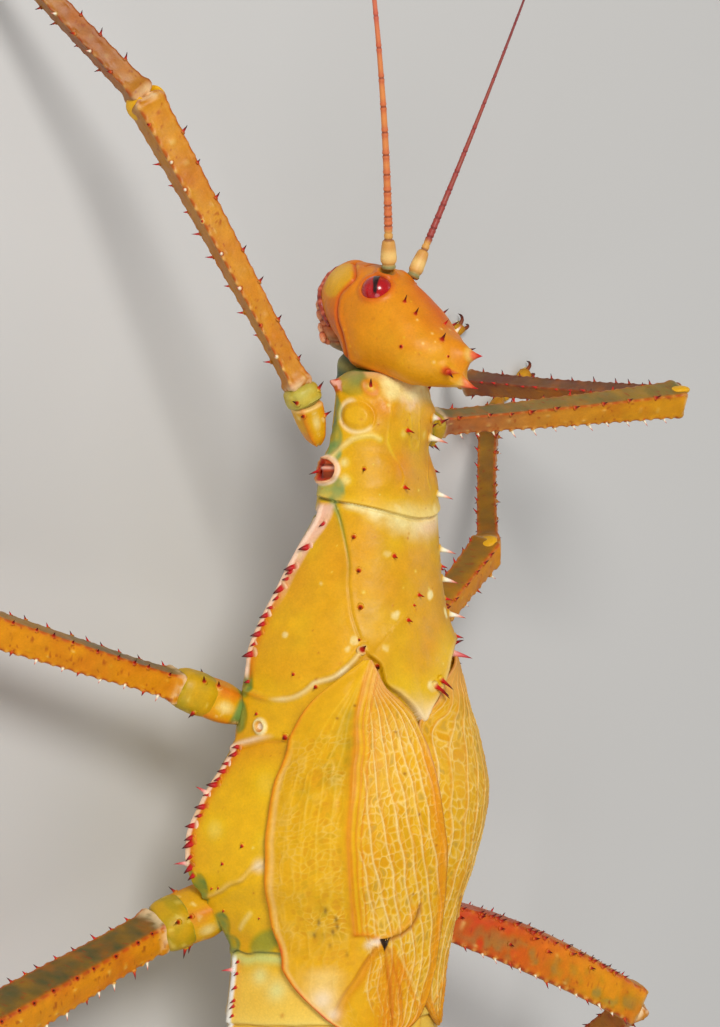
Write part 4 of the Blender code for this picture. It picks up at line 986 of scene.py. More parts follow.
for s in (1, -1):
    # The mandible's pale dome, the seam behind it and the reddened cheek edge.
    seam = near_head_path([(2.2, 20 * s), (3.7, 34 * s), (5.3, 46 * s), (6.1, 56 * s), (5.8, 68 * s), (5.4, 80 * s), (6.0, 92 * s), (7.1, 104 * s), (9.1, 118 * s), (10.4, 136 * s), (10.9, 150 * s)])
    h_height -= 0.3 * hump(seam, 0.22)
    h_height += 0.22 * hump(seam - 0.75, 0.5) * ramp(H_S - 0.02 * np.abs(H_DEG), 3, 6)
    mix(h_paint, lin(196, 84, 30), 0.85 * hump(seam, 0.32))
    mix(h_paint, lin(214, 96, 28), 0.45 * hump(seam, 1.3))
    dome = near_head(3.0, 60 * s)
    h_height += 0.6 * hump(dome, 2.5)
    mix(h_paint, lin(230, 172, 62), 0.95 * ramp(3.4 - dome, 0, 0.7) * (1 - hump(seam, 0.4)))
    mix(h_paint, lin(196, 92, 44), 0.85 * ramp(0.75 - H_S, 0, 0.7) * (np.abs(H_DEG) < 125))
    mix(h_paint, lin(240, 192, 96), 0.6 * hump(dome, 1.7))
    mix(h_paint, lin(206, 88, 28), 0.55 * hump(near_head(6.2, 128 * s), 3.0))
    h_height += 0.95 * hump(near_head(11.6, 152 * s), 3.4)
    # Eye socket rim and the feeler's seat.
    eye = near_head(EYE_AT[0], EYE_AT[1] * s)
    h_height += 0.26 * hump(eye - 2.3, 0.45) - 1.6 * ramp(1.9 - eye, 0, 0.6)
    mix(h_paint, lin(212, 86, 30), 0.6 * hump(eye - 2.1, 0.6))
    mix(h_paint, lin(130, 24, 20), 0.9 * ramp(2.02 - eye, 0, 0.25))
    seat = near_head(FEELER_SEAT[0], FEELER_SEAT[1] * s)
    h_height += 0.4 * hump(seat - 1.25, 0.45) - 0.5 * hump(seat, 0.75)
    mix(h_paint, lin(112, 128, 80), 0.8 * hump(seat, 1.05))
    mix(h_paint, lin(218, 110, 50), 0.6 * hump(seat - 1.5, 0.5))
    # Hind rim of the cheek over the neck, with the pale line under it.
    rim = near_head_path([(7.4, 152 * s), (10.6, 140 * s), (14.0, 143 * s), (17.4, 150 * s), (20.0, 162 * s)])
    h_height += 0.22 * hump(rim, 0.6)
    mix(h_paint, lin(190, 84, 28), 0.55 * hump(rim, 0.3))
    mix(h_paint, lin(230, 172, 40), 0.3 * hump(near_head(17.5, 100 * s), 4.0))
    # Small pale specks and blotches beside the thorns.
    for at, t, r in ((17.7, 34, 0.2), (20.4, 31, 0.22), (20.8, 58, 0.2), (23.0, 79, 0.26), (20.0, 8, 0.24), (21.6, 42, 0.14)):
        mix(h_paint, lin(248, 206, 130), 0.75 * hump(near_head(at, t * s), r))
    for k in range(26):
        at, t = RANDOM.uniform(6, 23), RANDOM.uniform(15, 130)
        mix(h_paint, lin(186, 96, 28) if k % 2 else lin(240, 196, 96), 0.5 * hump(near_head(at, t * s), RANDOM.uniform(0.1, 0.18)))
# The middle of the face: clypeus and upper lip.
for at, rise in ((4.9, -0.24), (2.2, -0.24)):
    line = near_head_path([(at, -24), (at - 0.4, 0), (at, 24)])
    h_height += rise * hump(line, 0.22)
    mix(h_paint, lin(170, 66, 34), 0.7 * hump(line, 0.25))
lip = hump(H_DEG, 26) * ramp(3.8 - H_S, 0, 2.0)
mix(h_paint, lin(222, 130, 60), 0.7 * lip)
h_height += 0.25 * hump(H_DEG, 20) * hump(H_S - 1.0, 1.1)
back = ramp(np.abs(H_DEG), 152, 172)
mix(h_paint, lin(206, 130, 40), 0.5 * back)
mix(h_paint, lin(96, 112, 66), 0.7 * back * hump(H_S - 12.5, 4.5))
h_paint *= (1 + 0.07 * h_fine)[..., None] * (1.0, 0.86, 1.0)
head_surface = h_base + h_normals * h_height[..., None]
# The crown's two broad cones, one before and one behind the crest, are drawn out of the head itself. Both stand upright.
CROWN = ((23.7, -20.0, 3.5, 2.7, (0.02, 0.1, 1.0)), (24.2, -164.0, 4.9, 3.3, (0.0, 0.22, 0.97)), (24.2, 86.0, 1.5, 1.5, (0.35, 0.3, 0.9)))
for at, t, tall, wide, way in CROWN:
    reach = near_head(at, t)
    share = np.clip(1 - reach / wide, 0, 1)
    drawn = 0.42 * share**1.3 + 0.58 * share**3.4
    head_surface = head_surface + (tall * drawn)[..., None] * unit(way)
    if tall > 2:
        mix(h_paint, lin(240, 192, 120), 0.6 * ramp(drawn, 0.2, 0.42))
        mix(h_paint, lin(226, 96, 74), 0.9 * ramp(drawn, 0.4, 0.6))
        mix(h_paint, lin(196, 30, 40), 0.9 * ramp(drawn, 0.62, 0.85))
    else:
        mix(h_paint, lin(204, 64, 28), 0.9 * ramp(drawn, 0.1, 0.5))
tube(head_surface, h_paint, h_shine, skin)


def on_head(s, degrees):
    i = int(np.argmin(np.abs(HS - s)))
    j = int(np.argmin(np.abs(H_DEG[i] - degrees)))
    return head_surface[i, j], h_normals[i, j], h_paint[i, j]


for at, t, length, radius, kind in (
    (14.6, 33, 1.35, 0.3, "dark"), (16.9, 31, 1.4, 0.3, "dark"), (21.8, 29, 1.5, 0.4, "dark"), (18.8, 84, 0.35, 0.34, "small"),
    (23.6, 42, 0.3, 0.22, "small"), (18.9, -5, 0.9, 0.24, "red"), (19.8, -26, 1.2, 0.34, "ivory"), (14.6, -50, 1.3, 0.3, "dark"), (16.9, -52, 1.3, 0.3, "dark"), (21.8, -58, 1.4, 0.38, "dark"),
):
    p, n, c = on_head(at, t)
    thorn(skin, p, n, length, radius, kind, lean=(0, -0.1, 0.05), foot=c)
for s in (1,):
    p, n, c = on_head(24.2, 86 * s)
    tip = head_surface.reshape(-1, 3)[np.argmax((head_surface - p).reshape(-1, 3) @ unit((0.35 * s, 0.3, 0.9)) - 4.0 * (near_head(24.2, 86 * s).ravel() > 1.2))]
    thorn(skin, tip - 0.25 * unit((0.35 * s, 0.4, 0.9)), (0.3 * s, 0.55, 0.8), 1.5, 0.34, "dark", foot=c)
# Neck: a folded greenish membrane between head and collar.
neck_path = curve_through([(0, -57.4, 33.6), (0, -59.6, 33.8), (0, -61.6, 34.6), (0, -63.6, 35.8), (0, -65.4, 37.0)], 0.16 * COARSE)
n_t = np.linspace(0, 1, len(neck_path))

# ---------------------------------------------------------------- legs
# Each limb piece is a squarish tube with four ridges. Its section is rolled so that one ridge points forwards and up.
LEG_ROLL = {"fore_L": 24.0, "fore_R": -30.0, "mid_L": 22.0, "mid_R": -22.0, "hind_L": 20.0, "hind_R": -18.0}
RIDGES = np.radians([45.0, 135.0, 225.0, 315.0])


def limb(p, q, halves, deep, roll, around, spacing, square, heights, colours, gloss=0.5, closed_ends=(0.5, 0.5), bow=0.0, sway=0.0):
    """One limb piece from p to q. heights and colours take (t, run, turn, points) and give what is painted on it."""
    p, q = np.asarray(p, float), np.asarray(q, float)
    along, across, up = frame_along(p, q)
    c, s = math.cos(math.radians(roll)), math.sin(math.radians(roll))
    across, up = across * c + up * s, up * c - across * s
    length = float(np.linalg.norm(q - p))
    inner = np.arange(0, length, spacing * COARSE)
    at = np.unique(np.clip(np.concatenate([inner, [length], closed_ends[0] * np.linspace(0, 1, 5) ** 2, length - closed_ends[1] * np.linspace(0, 1, 5) ** 2]), 0, length)) / length
    around = int(around / COARSE)
    # Columns bunch a little at the ridges.
    turn = 2 * math.pi * np.arange(around) / around
    turn = turn + 0.1 * np.sin(4 * turn)
    T, A = np.meshgrid(at, turn, indexing="ij")
    half = smooth(np.linspace(0, 1, len(halves)), halves, T)
    for r, d in ((closed_ends[0], T * length), (closed_ends[1], (1 - T) * length)):
        if r:
            k = np.clip(d / r, 0, 1)
            half = half * np.sqrt(np.clip(1 - (1 - k) ** 2 * 0.93, 0, 1))
    ca, sa = np.cos(A), np.sin(A)
    e = 2 / square
    a = half * np.sign(ca) * np.abs(ca) ** e
    b = half * deep * np.sign(sa) * np.abs(sa) ** e
    forward = across if across[1] < 0 else -across
    middle = p + (q - p) * T[..., None] + (up * bow + forward * sway) * np.sin(math.pi * T)[..., None]
    points = middle + a[..., None] * across + b[..., None] * up
    normals = grid_normals(points, True)
    rise = heights(T, T * length, A, points)
    points = points + normals * rise[..., None]
    shade = colours(T, T * length, A, points)
    tube(points, shade, gloss, skin)
    return points, normals, shade, (along, across, up)


def ridge_mask(A, width=0.3):
    """Per point, how near it lies to a ridge, and which one."""
    gap = np.abs((A[..., None] - RIDGES + math.pi) % (2 * math.pi) - math.pi)
    return hump(gap.min(-1), width), gap.argmin(-1)


def knobs(run, k, pitch, seed):
    """A row of rounded knobs along each ridge, out of step with each other."""
    shift = np.array((0.0, 0.37, 0.61, 0.22))[k] * pitch + seed
    phase = ((run + shift) / pitch) % 1.0
    return hump(phase - 0.5, 0.2)


def plain(T, run, A, P):
    return 0.03 * fractal(P, 0.8, 2, 3)


# Which ridge shows where, seen from above: towards the tail, on top, towards the head, underneath.
RIDGE_OF = {"L": (1, 0, 3, 2), "R": (0, 1, 2, 3)}


def limb_thorns(points, normals, shade, frame_, rows_, tag):
    """rows_ holds, per ridge: which one (0 to 3 as in RIDGE_OF), spacing, start, stop, length, radius and the kinds in turn."""
    along = frame_[0]
    rows, count = points.shape[:2]
    run = np.concatenate([[0], np.cumsum(np.linalg.norm(np.diff(points.mean(1), axis=0), axis=1))])
    turn = 2 * math.pi * np.arange(count) / count
    turn = turn + 0.1 * np.sin(4 * turn)
    for which, every, start, stop, length, radius, kinds in rows_:
        k = RIDGE_OF[tag][which]
        at = run[-1] * start + RANDOM.random() * every * 0.5
        n = 0
        while at < run[-1] * stop:
            i = int(np.argmin(np.abs(run - at)))
            off = RIDGES[k] + RANDOM.uniform(-0.07, 0.07)
            j = int(np.argmin(np.abs((turn - off + math.pi) % (2 * math.pi) - math.pi)))
            big = 0.7 + 0.6 * RANDOM.random()
            thorn(skin, points[i, j], normals[i, j] + 0.35 * along, length * big, radius * (0.8 + 0.3 * big), kinds[n % len(kinds)], lean=along * 0.12, sides=9, foot=shade[i, j])
            at += every * (0.7 + 0.6 * RANDOM.random())
            n += 1


# Limb colours: the face turned up and back, the flanks, the face turned to the head, and the ridges. The face turned to
# the head is its own olive, painted much darker as painted shade.
LEG_TONES = {
    "fore": (lin(206, 132, 58), lin(188, 104, 46), lin(100, 92, 54), lin(180, 80, 36)),
    "mid": (lin(220, 136, 40), lin(200, 104, 32), lin(86, 78, 40), lin(190, 84, 28)),
    "hind": (lin(224, 138, 38), lin(210, 104, 32), lin(62, 70, 40), lin(192, 82, 28)),
}


def leg_paint(name, where, seed, tips=(1.2, 1.2), dark=0.0):
    group, tag = name[:-2], name[-1]
    top, side, shade, warm = LEG_TONES[group]
    ahead = 0.0 if tag == "L" else math.pi

    def colours(T, run, A, P):
        c = np.zeros(T.shape + (3,))
        c[:] = top
        grain = fractal(P, 1.1, 3, 11)
        broad = fractal(P, 6.0, 3, 13)
        from_ahead = (A - ahead + math.pi) % (2 * math.pi) - math.pi
        mix(c, side, 0.7 * ramp(broad, -0.1, 0.5))
        if name == "fore_R":
            mix(c, lin(148, 84, 66), 0.75 * ramp(0.55 - T, 0, 0.5) * (where == "femur"))
            mix(c, lin(226, 150, 46), 0.6 * ramp(T, 0.5, 0.95) * (where == "femur"))
        if name == "hind_R":
            mix(c, lin(204, 66, 30), 0.9 * ramp(0.85 - T, 0, 0.5) * (where == "femur"))
            band = hump(from_ahead + 1.75, 0.42) + hump(from_ahead - 1.75, 0.42)
            mix(c, lin(128, 124, 74), 0.65 * band * ramp(fractal(P, 1.8, 2, 19), -0.35, 0.3) * ramp(T, 0.15, 0.4))
        # The face turned to the head: its own olive, darkened as painted shade, with a strength set for each leg.
        strong = {"fore_L": 0.75, "mid_L": 0.85, "hind_L": 0.88, "fore_R": 0.85, "hind_R": 0.3, "mid_R": 0.7}[name]
        mix(c, shade, strong * ramp(0.9 - np.abs(from_ahead), 0, 0.34) * (0.88 + 0.35 * broad + 0.22 * fractal(P, 1.5, 3, 57)))
        mix(c, lin(150, 96, 52), 0.4 * ramp(np.abs(from_ahead) - 2.3, 0, 0.3))
        near, k = ridge_mask(A, 0.2)
        knob = knobs(run, k, 1.9, seed)
        mix(c, warm, 0.6 * near)
        lower = k == RIDGE_OF[tag][0]
        mix(c, lin(246, 196, 120), 0.55 * near * knob * np.where(lower, 1.0, 0.25) * (0.8 + 0.7 * grain))
        mix(c, lin(176, 50, 26), 0.5 * ridge_mask(A, 0.1)[0] * (1 - knob))
        # Scattered cream tubercles and dark specks.
        phase = (run + 0.7 * seed) / 3.3
        dots = hump(np.hypot((phase % 1.0 - 0.5) * 3.3, (np.abs(from_ahead) - 1.7 - 0.35 * np.sin(np.floor(phase) * 2.4)) * 4.6), 0.34)
        mix(c, lin(248, 204, 130), 0.5 * dots * ramp(fractal(P, 5.0, 2, 47), -0.25, 0.35))
        mix(c, lin(150, 50, 24), 0.6 * ramp(fractal(P, 0.55, 2, 43), 0.42, 0.6))
        # Painted shade: a dark red-brown laid over the whole piece by the dark share.
        if dark:
            mix(c, lin(104, 44, 38), dark * (0.8 + 0.5 * broad))
        for end, d in ((tips[0], run), (tips[1], run.max() - run)):
            if end:
                mix(c, lin(250, 208, 168), 0.8 * ramp(end - d, 0, 0.8 * end) * ramp(grain + 0.35, 0, 0.5))
        mix(c, lin(196, 100, 34), 0.28 * ramp(fractal(P, 2.2, 3, 53), 0.05, 0.6))
        c *= (1 + 0.14 * grain)[..., None]
        return c

    return colours


def leg_relief(name, seed, rise=0.2, pitch=1.9, hollow=0.14):
    ahead = 0.0 if name[-1] == "L" else math.pi

    def heights(T, run, A, P):
        near, k = ridge_mask(A, 0.2)
        faces = np.abs(np.cos(2 * A))
        from_ahead = (A - ahead + math.pi) % (2 * math.pi) - math.pi
        phase = (run + 0.7 * seed) / 3.3
        dots = hump(np.hypot((phase % 1.0 - 0.5) * 3.3, (np.abs(from_ahead) - 1.7 - 0.35 * np.sin(np.floor(phase) * 2.4)) * 4.6), 0.4)
        lower = np.where(k == RIDGE_OF[name[-1]][0], 1.7, 0.9)
        swell = 0.45 * hump(run - 0.9, 0.9) + 0.3 * hump(run.max() - run - 0.8, 0.8)
        return near * (0.1 + lower * rise * knobs(run, k, pitch, seed)) - hollow * ramp(faces, 0.3, 1.0) + 0.05 * fractal(P, 1.0, 3, 17) + 0.12 * dots + swell

    return heights


def olive_band(T, run, A, P):
    c = np.zeros(T.shape + (3,))
    c[:] = lin(208, 152, 46)
    mix(c, lin(168, 140, 52), 0.7 * ramp(fractal(P, 2.4, 3, 23), -0.3, 0.5))
    mix(c, lin(112, 128, 70), 0.85 * (hump(run, 0.7) + hump(run.max() - run, 0.45)))
    mix(c, lin(236, 196, 110), 0.5 * ramp(fractal(P, 1.0, 3, 24), 0.2, 0.6))
    c *= (1 + 0.1 * fractal(P, 0.8, 2, 25))[..., None]
    return c


def beige_band(T, run, A, P):
    c = olive_band(T, run, A, P)
    mix(c, lin(204, 182, 104), 0.65 * ramp(fractal(P, 2.0, 3, 29), -0.6, 0.3))
    return c


def coxa_paint(seed):
    def colours(T, run, A, P):
        c = np.zeros(T.shape + (3,))
        c[:] = lin(226, 158, 40)
        mix(c, lin(220, 116, 30), 0.6 * ramp(fractal(P, 2.6, 3, seed), -0.1, 0.6))
        end = run.max() - run
        mix(c, lin(246, 196, 140), 0.7 * hump(end - 0.3, 0.35))
        mix(c, lin(100, 134, 74), 0.9 * ramp(2.9 - run, 0, 0.8) * (0.0 if seed == FORE_LEFT_SEED else 1.0))
        mix(c, lin(250, 214, 150), 0.75 * hump(run - 4.0, 1.2) * hump(A - 1.6, 0.22) + 0.6 * ramp(fractal(P, 1.0, 3, 28), 0.25, 0.6))
        near, _ = ridge_mask(A, 0.25)
        mix(c, lin(206, 80, 40), 0.45 * near)
        mix(c, lin(250, 206, 176), 0.5 * hump(A - 4.4, 0.5))
        c *= (1 + 0.08 * fractal(P, 0.8, 2, 27))[..., None]
        return c

    return colours


def foot_profile(t):
    """Width and height of the foot along its length, as shares: four pads, a long claw joint and its swollen end."""
    wide = np.interp(t, (0, .05, .14, .2, .24, .34, .385, .42, .5, .54, .57, .64, .67, .7, .8, .9, .97, 1), (.5, .8, 1.0, .95, .72, .98, .9, .72, .95, .86, .7, .92, .8, .55, .6, .85, 1.0, .6))
    high = np.interp(t, (0, .05, .14, .24, .34, .42, .5, .57, .64, .7, .8, .92, .98, 1), (.9, 1.35, 1.5, 1.1, 1.25, .95, 1.15, .9, 1.05, .75, .8, 1.15, 1.3, .8))
    return wide, high


def foot(name, ankle, toe, seed):
    s = side_of(name)
    flat = (toe - ankle) * (1, 1, 0)
    length = float(np.linalg.norm(flat))
    ahead = flat / length
    across = np.array((-ahead[1], ahead[0], 0.0))
    lift = FEET_LIFT.get(name, 0.0)
    at = np.unique(np.concatenate([np.linspace(0, 1, int(110 / COARSE)), (0.004, 0.012, 0.988, 0.996)]))
    around = int(34 / COARSE)
    turn = 2 * math.pi * (np.arange(around) + 0.5) / around
    T, A = np.meshgrid(at, turn, indexing="ij")
    wide, high = foot_profile(T)
    ends = np.sqrt(np.clip(1 - (1 - np.clip(np.minimum(T, 1 - T) * length / 0.5, 0, 1)) ** 2 * 0.9, 0, 1))
    w, h = 1.05 * wide * ends, 0.85 * high * (0.35 + 0.65 * ends)
    ca, sa = np.cos(A), np.sin(A)
    x = w * np.sign(ca) * np.abs(ca) ** 0.85
    z = h * np.sign(sa) * np.abs(sa) ** np.where(sa < 0, 0.55, 0.95)
    ground = lift * np.clip(1 - T / 0.72, 0, 1)
    middle = ankle * (1, 1, 0) + ahead * length * T[..., None]
    points = middle + across * x[..., None] + np.array((0, 0, 1.0)) * (ground + h * 1.0 + z)[..., None]
    points[..., 2] = np.maximum(points[..., 2], 0.0)
    joint = sum(hump(T - k, 0.012) for k in (0.24, 0.42, 0.57, 0.69))
    c = np.zeros(T.shape + (3,))
    c[:] = lin(206, 138, 50)
    mix(c, lin(150, 84, 34), 0.6 * ramp(fractal(points, 2.0, 3, 33), -0.2, 0.5))
    mix(c, lin(96, 84, 40), 0.7 * joint)
    mix(c, lin(226, 190, 130), 0.8 * ramp(-sa, 0.3, 0.8) * (1 - joint))
    mix(c, lin(120, 50, 30), 0.6 * ramp(T, 0.9, 1.0))
    c *= (1 + 0.12 * fractal(points, 0.6, 2, 35))[..., None]
    tube(points, c, 0.5, skin)
    # The ball joint that carries the foot under the end of the shin.
    heel = Blob(ankle + ahead * 0.45 - np.array((0, 0, 0.55)), (1.75, 1.15, 1.4), ahead, 20)
    heel_tint = np.tile(lin(206, 140, 54), (len(heel.points), 1)) * (1 + 0.15 * fractal(heel.points, 0.8, 2, 36))[:, None]
    skin.add(heel.points, heel.quads, heel.tris, heel_tint, 0.5)
    tip = ankle * (1, 1, 0) + ahead * length
    # The pad between the claws, and two hooked claws.
    pad = Blob(tip + ahead * 0.15 + np.array((0, 0, 0.62)), (0.85, 0.75, 0.55), ahead, 14)
    skin.add(pad.points, pad.quads, pad.tris, np.broadcast_to(lin(214, 176, 116), pad.points.shape), 0.35)
    for k in (1, -1):
        root = tip - ahead * 0.35 + across * 0.55 * k + np.array((0, 0, 1.45))
        path = curve_through([root, root + ahead * 0.9 + across * 0.35 * k + np.array((0, 0, 0.25)), root + ahead * 1.7 + across * 0.62 * k - np.array((0, 0, 0.25)), root + ahead * 2.05 + across * 0.7 * k - np.array((0, 0, 1.0))], 0.14)
        worm(skin, path, np.interp(np.linspace(0, 1, len(path)), (0, 0.2, 0.7, 1), (0.36, 0.34, 0.2, 0.03)), 9, lambda t: np.array([np.interp(t, (0, 0.5, 1), (lin(150, 70, 30)[i], lin(90, 30, 18)[i], BLACK[i])) for i in range(3)]).T, 0.8)


class Blob:
    """An ellipsoid along a direction."""

    def __init__(self, centre, sizes, along, count):
        count = max(8, int(count / COARSE))
        along = unit(along)
        side = unit(np.cross(along, (0.02, 0.01, 1.0)))
        up = np.cross(side, along)
        a = math.pi * (np.arange(1, count)) / count
        b = 2 * math.pi * np.arange(2 * count) / (2 * count)
        A, B = np.meshgrid(a, b, indexing="ij")
        grid = centre + sizes[0] * np.cos(A)[..., None] * along + (np.sin(A) * np.cos(B) * sizes[1])[..., None] * side + (np.sin(A) * np.sin(B) * sizes[2])[..., None] * up
        self.quads, self.tris = ring_faces(count - 1, 2 * count)
        self.points = np.concatenate([grid.reshape(-1, 3), [centre + sizes[0] * along, centre - sizes[0] * along]])


def worm(shell, path, halves, around, colour, gloss=0.5, rings=None):
    """A round tube along a path, with a parallel-carried frame."""
    path = np.asarray(path, float)
    around = max(7, int(around / COARSE**0.5))
    tangent = np.gradient(path, axis=0)
    tangent /= np.linalg.norm(tangent, axis=1, keepdims=True)
    side = unit(np.cross(tangent[0], (0.21, 0.33, 0.92)))
    turn = 2 * math.pi * np.arange(around) / around
    points = np.empty((len(path), around, 3))
    for i, t in enumerate(tangent):
        side = unit(side - t * (side @ t))
        other = np.cross(t, side)
        points[i] = path[i] + halves[i] * (np.cos(turn)[:, None] * side + np.sin(turn)[:, None] * other)
    run = np.linspace(0, 1, len(path))
    shade = np.repeat(np.asarray(colour(run))[:, None, :], around, axis=1)
    tube(points, shade, gloss, shell)
    return points


FORE_LEFT_SEED = len("fore_L") + sum(map(ord, "fore_L")) % 7
SKIN_LIMBS = {
    "fore": {"coxa": (1.7, 2.25, 2.2), "femur": (1.5, 1.55, 1.75, 1.9, 2.1, 2.35), "tibia": (1.65, 1.5, 1.42, 1.45, 1.65)},
    "mid": {"coxa": (2.0, 2.85, 2.7), "femur": (1.95, 1.9, 2.05, 2.15, 2.25, 2.45), "tibia": (1.65, 1.55, 1.45, 1.5, 1.75)},
    "hind": {"coxa": (2.4, 3.3, 3.1), "femur": (2.45, 2.5, 2.75, 2.9, 3.0, 3.1), "tibia": (2.0, 1.9, 1.85, 1.85, 2.05)},
}
for name in LEGS:
    hip, base_, knee, ankle, toe = leg_points(name)
    if name == "fore_L":
        hip, base_ = np.array((10.2, -51.4, 34.2)), np.array((12.7, -56.1, 34.6))
    group, tag = name[:-2], name[-1]
    sizes = SKIN_LIMBS[group]
    deep, roll, seed = LIMBS[group]["deep"], LEG_ROLL[name], len(name) + sum(map(ord, name)) % 7
    fine = 1.0 if name.endswith("_L") or name != "mid_R" else 1.25
    out = unit(base_ - hip)
    inner = hip - out * 2.2
    direction = unit(knee - base_)
    # Hip piece, with a dark thorn or two on its ridges.
    narrow = name == "fore_L"
    made = limb(inner, base_ - out * 1.0, (0.9, 1.75, 2.15) if narrow else sizes["coxa"], deep, roll, 76, 0.2, 2.5, lambda T, run, A, P: 0.05 * fractal(P, 1.2, 2, 3) + 0.16 * ridge_mask(A, 0.25)[0], coxa_paint(seed), 0.5, (1.6, 0.5) if narrow else (0.0, 0.5))
    points, normals_, shade, frame_ = made
    for share, which in ((0.62, 1), (0.78, 0), (0.7, 2)):
        k = RIDGE_OF[tag][which]
        j = int(np.argmin(np.abs(((2 * math.pi * np.arange(points.shape[1]) / points.shape[1]) - RIDGES[k]))))
        i = int(share * (points.shape[0] - 1))
        thorn(skin, points[i, j], normals_[i, j] + 0.5 * frame_[0], 1.2, 0.3, "dark", foot=shade[i, j])
    # The olive ring between hip piece and thigh.
    half = sizes["coxa"][-1]
    ring_back = {"fore": 1.5 if narrow else 2.6, "mid": 4.4, "hind": 3.4}[group]
    made = limb(base_ - out * ring_back, base_ + direction * 2.0, (half * 0.98, half * 1.1, half * 1.06, sizes["femur"][0] * 1.1), deep, roll, 72, 0.2, 2.5, plain, beige_band if narrow else olive_band, 0.35, (0.6, 0.9))
    points, normals_, shade, frame_ = made
    for share, which in ((0.5, 1), (0.45, 0)):
        k = RIDGE_OF[tag][which]
        j = int(np.argmin(np.abs(((2 * math.pi * np.arange(points.shape[1]) / points.shape[1]) - RIDGES[k]))))
        i = int(share * (points.shape[0] - 1))
        thorn(skin, points[i, j], normals_[i, j] + 0.6 * frame_[0], 1.5, 0.34, "dark", foot=shade[i, j])
    stout = (2.15, 2.9, 3.4, 3.5, 3.35, 3.1) if name == "hind_R" else sizes["femur"]
    made = limb(base_ + direction * 1.2, knee, stout, deep, roll, 96 / fine, 0.24 * fine, 3.3, leg_relief(name, seed, 0.13), leg_paint(name, "femur", seed, ({"hind_L": 3.3, "mid_L": 2.3}.get(name, 1.7), 1.4)), 0.55, (0.8, 1.3), bow=1.0 if name == "hind_R" else 0.3, sway=1.7 if name == "hind_R" else 0.0)
    spiny = name == "hind_R"
    pale = ("ivory",) if name == "fore_R" else ("ivory", "small", "ivory")
    limb_thorns(*made, ((1, 2.5 if spiny else (6.2 if narrow else 4.6 if group == "fore" else 3.4), 0.06, 0.92, 1.0 if spiny else 0.85, 0.25, ("dark",)), (0, 2.4 if spiny else 5.0 if narrow else 3.4, 0.08, 0.95, 0.95 if not narrow else 0.7, 0.24, pale), (2, 2.2 if spiny else (6.4 if narrow else 4.6 if group == "fore" else 3.3), 0.06, 0.95, 0.95 if spiny else 0.75, 0.22, ("red", "dark")), (3, 3.6, 0.1, 0.9, 0.9, 0.22, ("red",))), tag)
    if spiny:
        # Dark thorns strewn over the upper half of the broad face.
        points, normals_, shade, frame_ = made
        for share, where in ((0.07, 112), (0.14, 96), (0.2, 118), (0.27, 104), (0.33, 120), (0.4, 108), (0.45, 92), (0.52, 114), (0.58, 99), (0.66, 117), (0.74, 106)):
            j = int(where / 360 * points.shape[1])
            i = int(share * (points.shape[0] - 1))
            thorn(skin, points[i, j], normals_[i, j] + 0.5 * frame_[0], 1.0, 0.3, "dark", foot=shade[i, j])
        limb_thorns(*made, ((1, 3.1, 0.1, 0.9, 0.9, 0.3, ("dark",)), (2, 2.9, 0.1, 0.9, 0.7, 0.18, ("small", "ivory"))), tag)
    # Knee: two rounded flaps beside the shin's head.
    along, across, up = made[3]
    for k in (1, -1):
        flap = Blob(knee - along * 0.9 + across * k * sizes["femur"][-1] * 0.66, (1.8, 0.75, sizes["femur"][-1] * 0.8), along, 18)
        skin.add(flap.points, flap.quads, flap.tris, np.broadcast_to(lin(232, 164, 62), flap.points.shape), 0.5)
    # The shins are painted dark red-brown, most on the fore legs: painted shade for the fore shins, which lay out of
    # the light.
    dark = {"fore_L": 0.5, "fore_R": 0.88, "hind_R": 0.3}.get(name, 0.15)
    made = limb(knee, ankle + np.array((0, 0, 0.0)), sizes["tibia"], deep, roll, 80 / fine, 0.26 * fine, 3.2, leg_relief(name, seed + 3, 0.14, 2.1, 0.12), leg_paint(name, "tibia", seed + 1, (1.2, 1.4), dark), 0.55, (1.2, 0.9), bow=-0.3)
    limb_thorns(*made, ((1, 3.6, 0.1, 0.93, 0.85, 0.22, ("dark",)), (0, 3.6, 0.12, 0.95, 0.8, 0.2, ("small", "ivory")), (2, 3.4, 0.1, 0.95, 0.8, 0.2, ("red",)), (3, 3.8, 0.14, 0.95, 0.8, 0.2, ("dark",))), tag)
    foot(name, ankle, toe, seed)
    if name == "fore_L":
        worm(skin, neck_path, 2.9 + 0.3 * np.sin(n_t * math.pi * 7) * (0.4 + 0.6 * n_t) + 0.4 * (1 - n_t), 64, lambda t: np.stack([np.interp(np.sin(t * math.pi * 7), (-1, 1), (lin(66, 80, 54)[q], lin(150, 136, 82)[q])) for q in range(3)], -1), 0.35)

# ---------------------------------------------------------------- forewings
# Both wings spring from under the lobe of the middle ring. Turns are in degrees from the back. The left wing's inner
# edge crosses the middle of the back and lies over the right wing.
INNER_LEFT = ((-20.2, 35), (-19.0, 33), (-16.4, 28.5), (-14.4, 21.5), (-12.6, 16), (-11.4, 14.5), (-8.5, 13), (-5.5, 11), (-2.1, 9), (2.0, 6.5), (6.1, 4), (9.7, 2.4), (13.2, 0.6), (18.2, -0.6), (21.7, -1.2), (25.1, -0.6), (28.6, 2), (30.4, 7), (31.7, 16))
INNER_RIGHT = ((-20.2, -28), (-19.0, -20), (-16.4, -5), (-14.4, -1), (-12.6, 6), (-11.4, 12), (-8.5, 17), (-5.5, 15.5), (-2.1, 14), (2.0, 12), (6.1, 10), (13.2, 7), (21.7, 5), (26.0, 3), (28.6, -3), (30.4, -9), (31.7, -17))
OUTER = ((-20.2, 38.5), (-17.5, 50), (-14.4, 61), (-11.8, 66), (-8.7, 69), (-4.6, 69), (-1.2, 67), (3.7, 64.5), (8.7, 63.5), (13.3, 66), (17.5, 68), (21.6, 68), (23.4, 65), (25.2, 60), (27.2, 53), (28.8, 47), (30.4, 38.5), (31.7, 25))
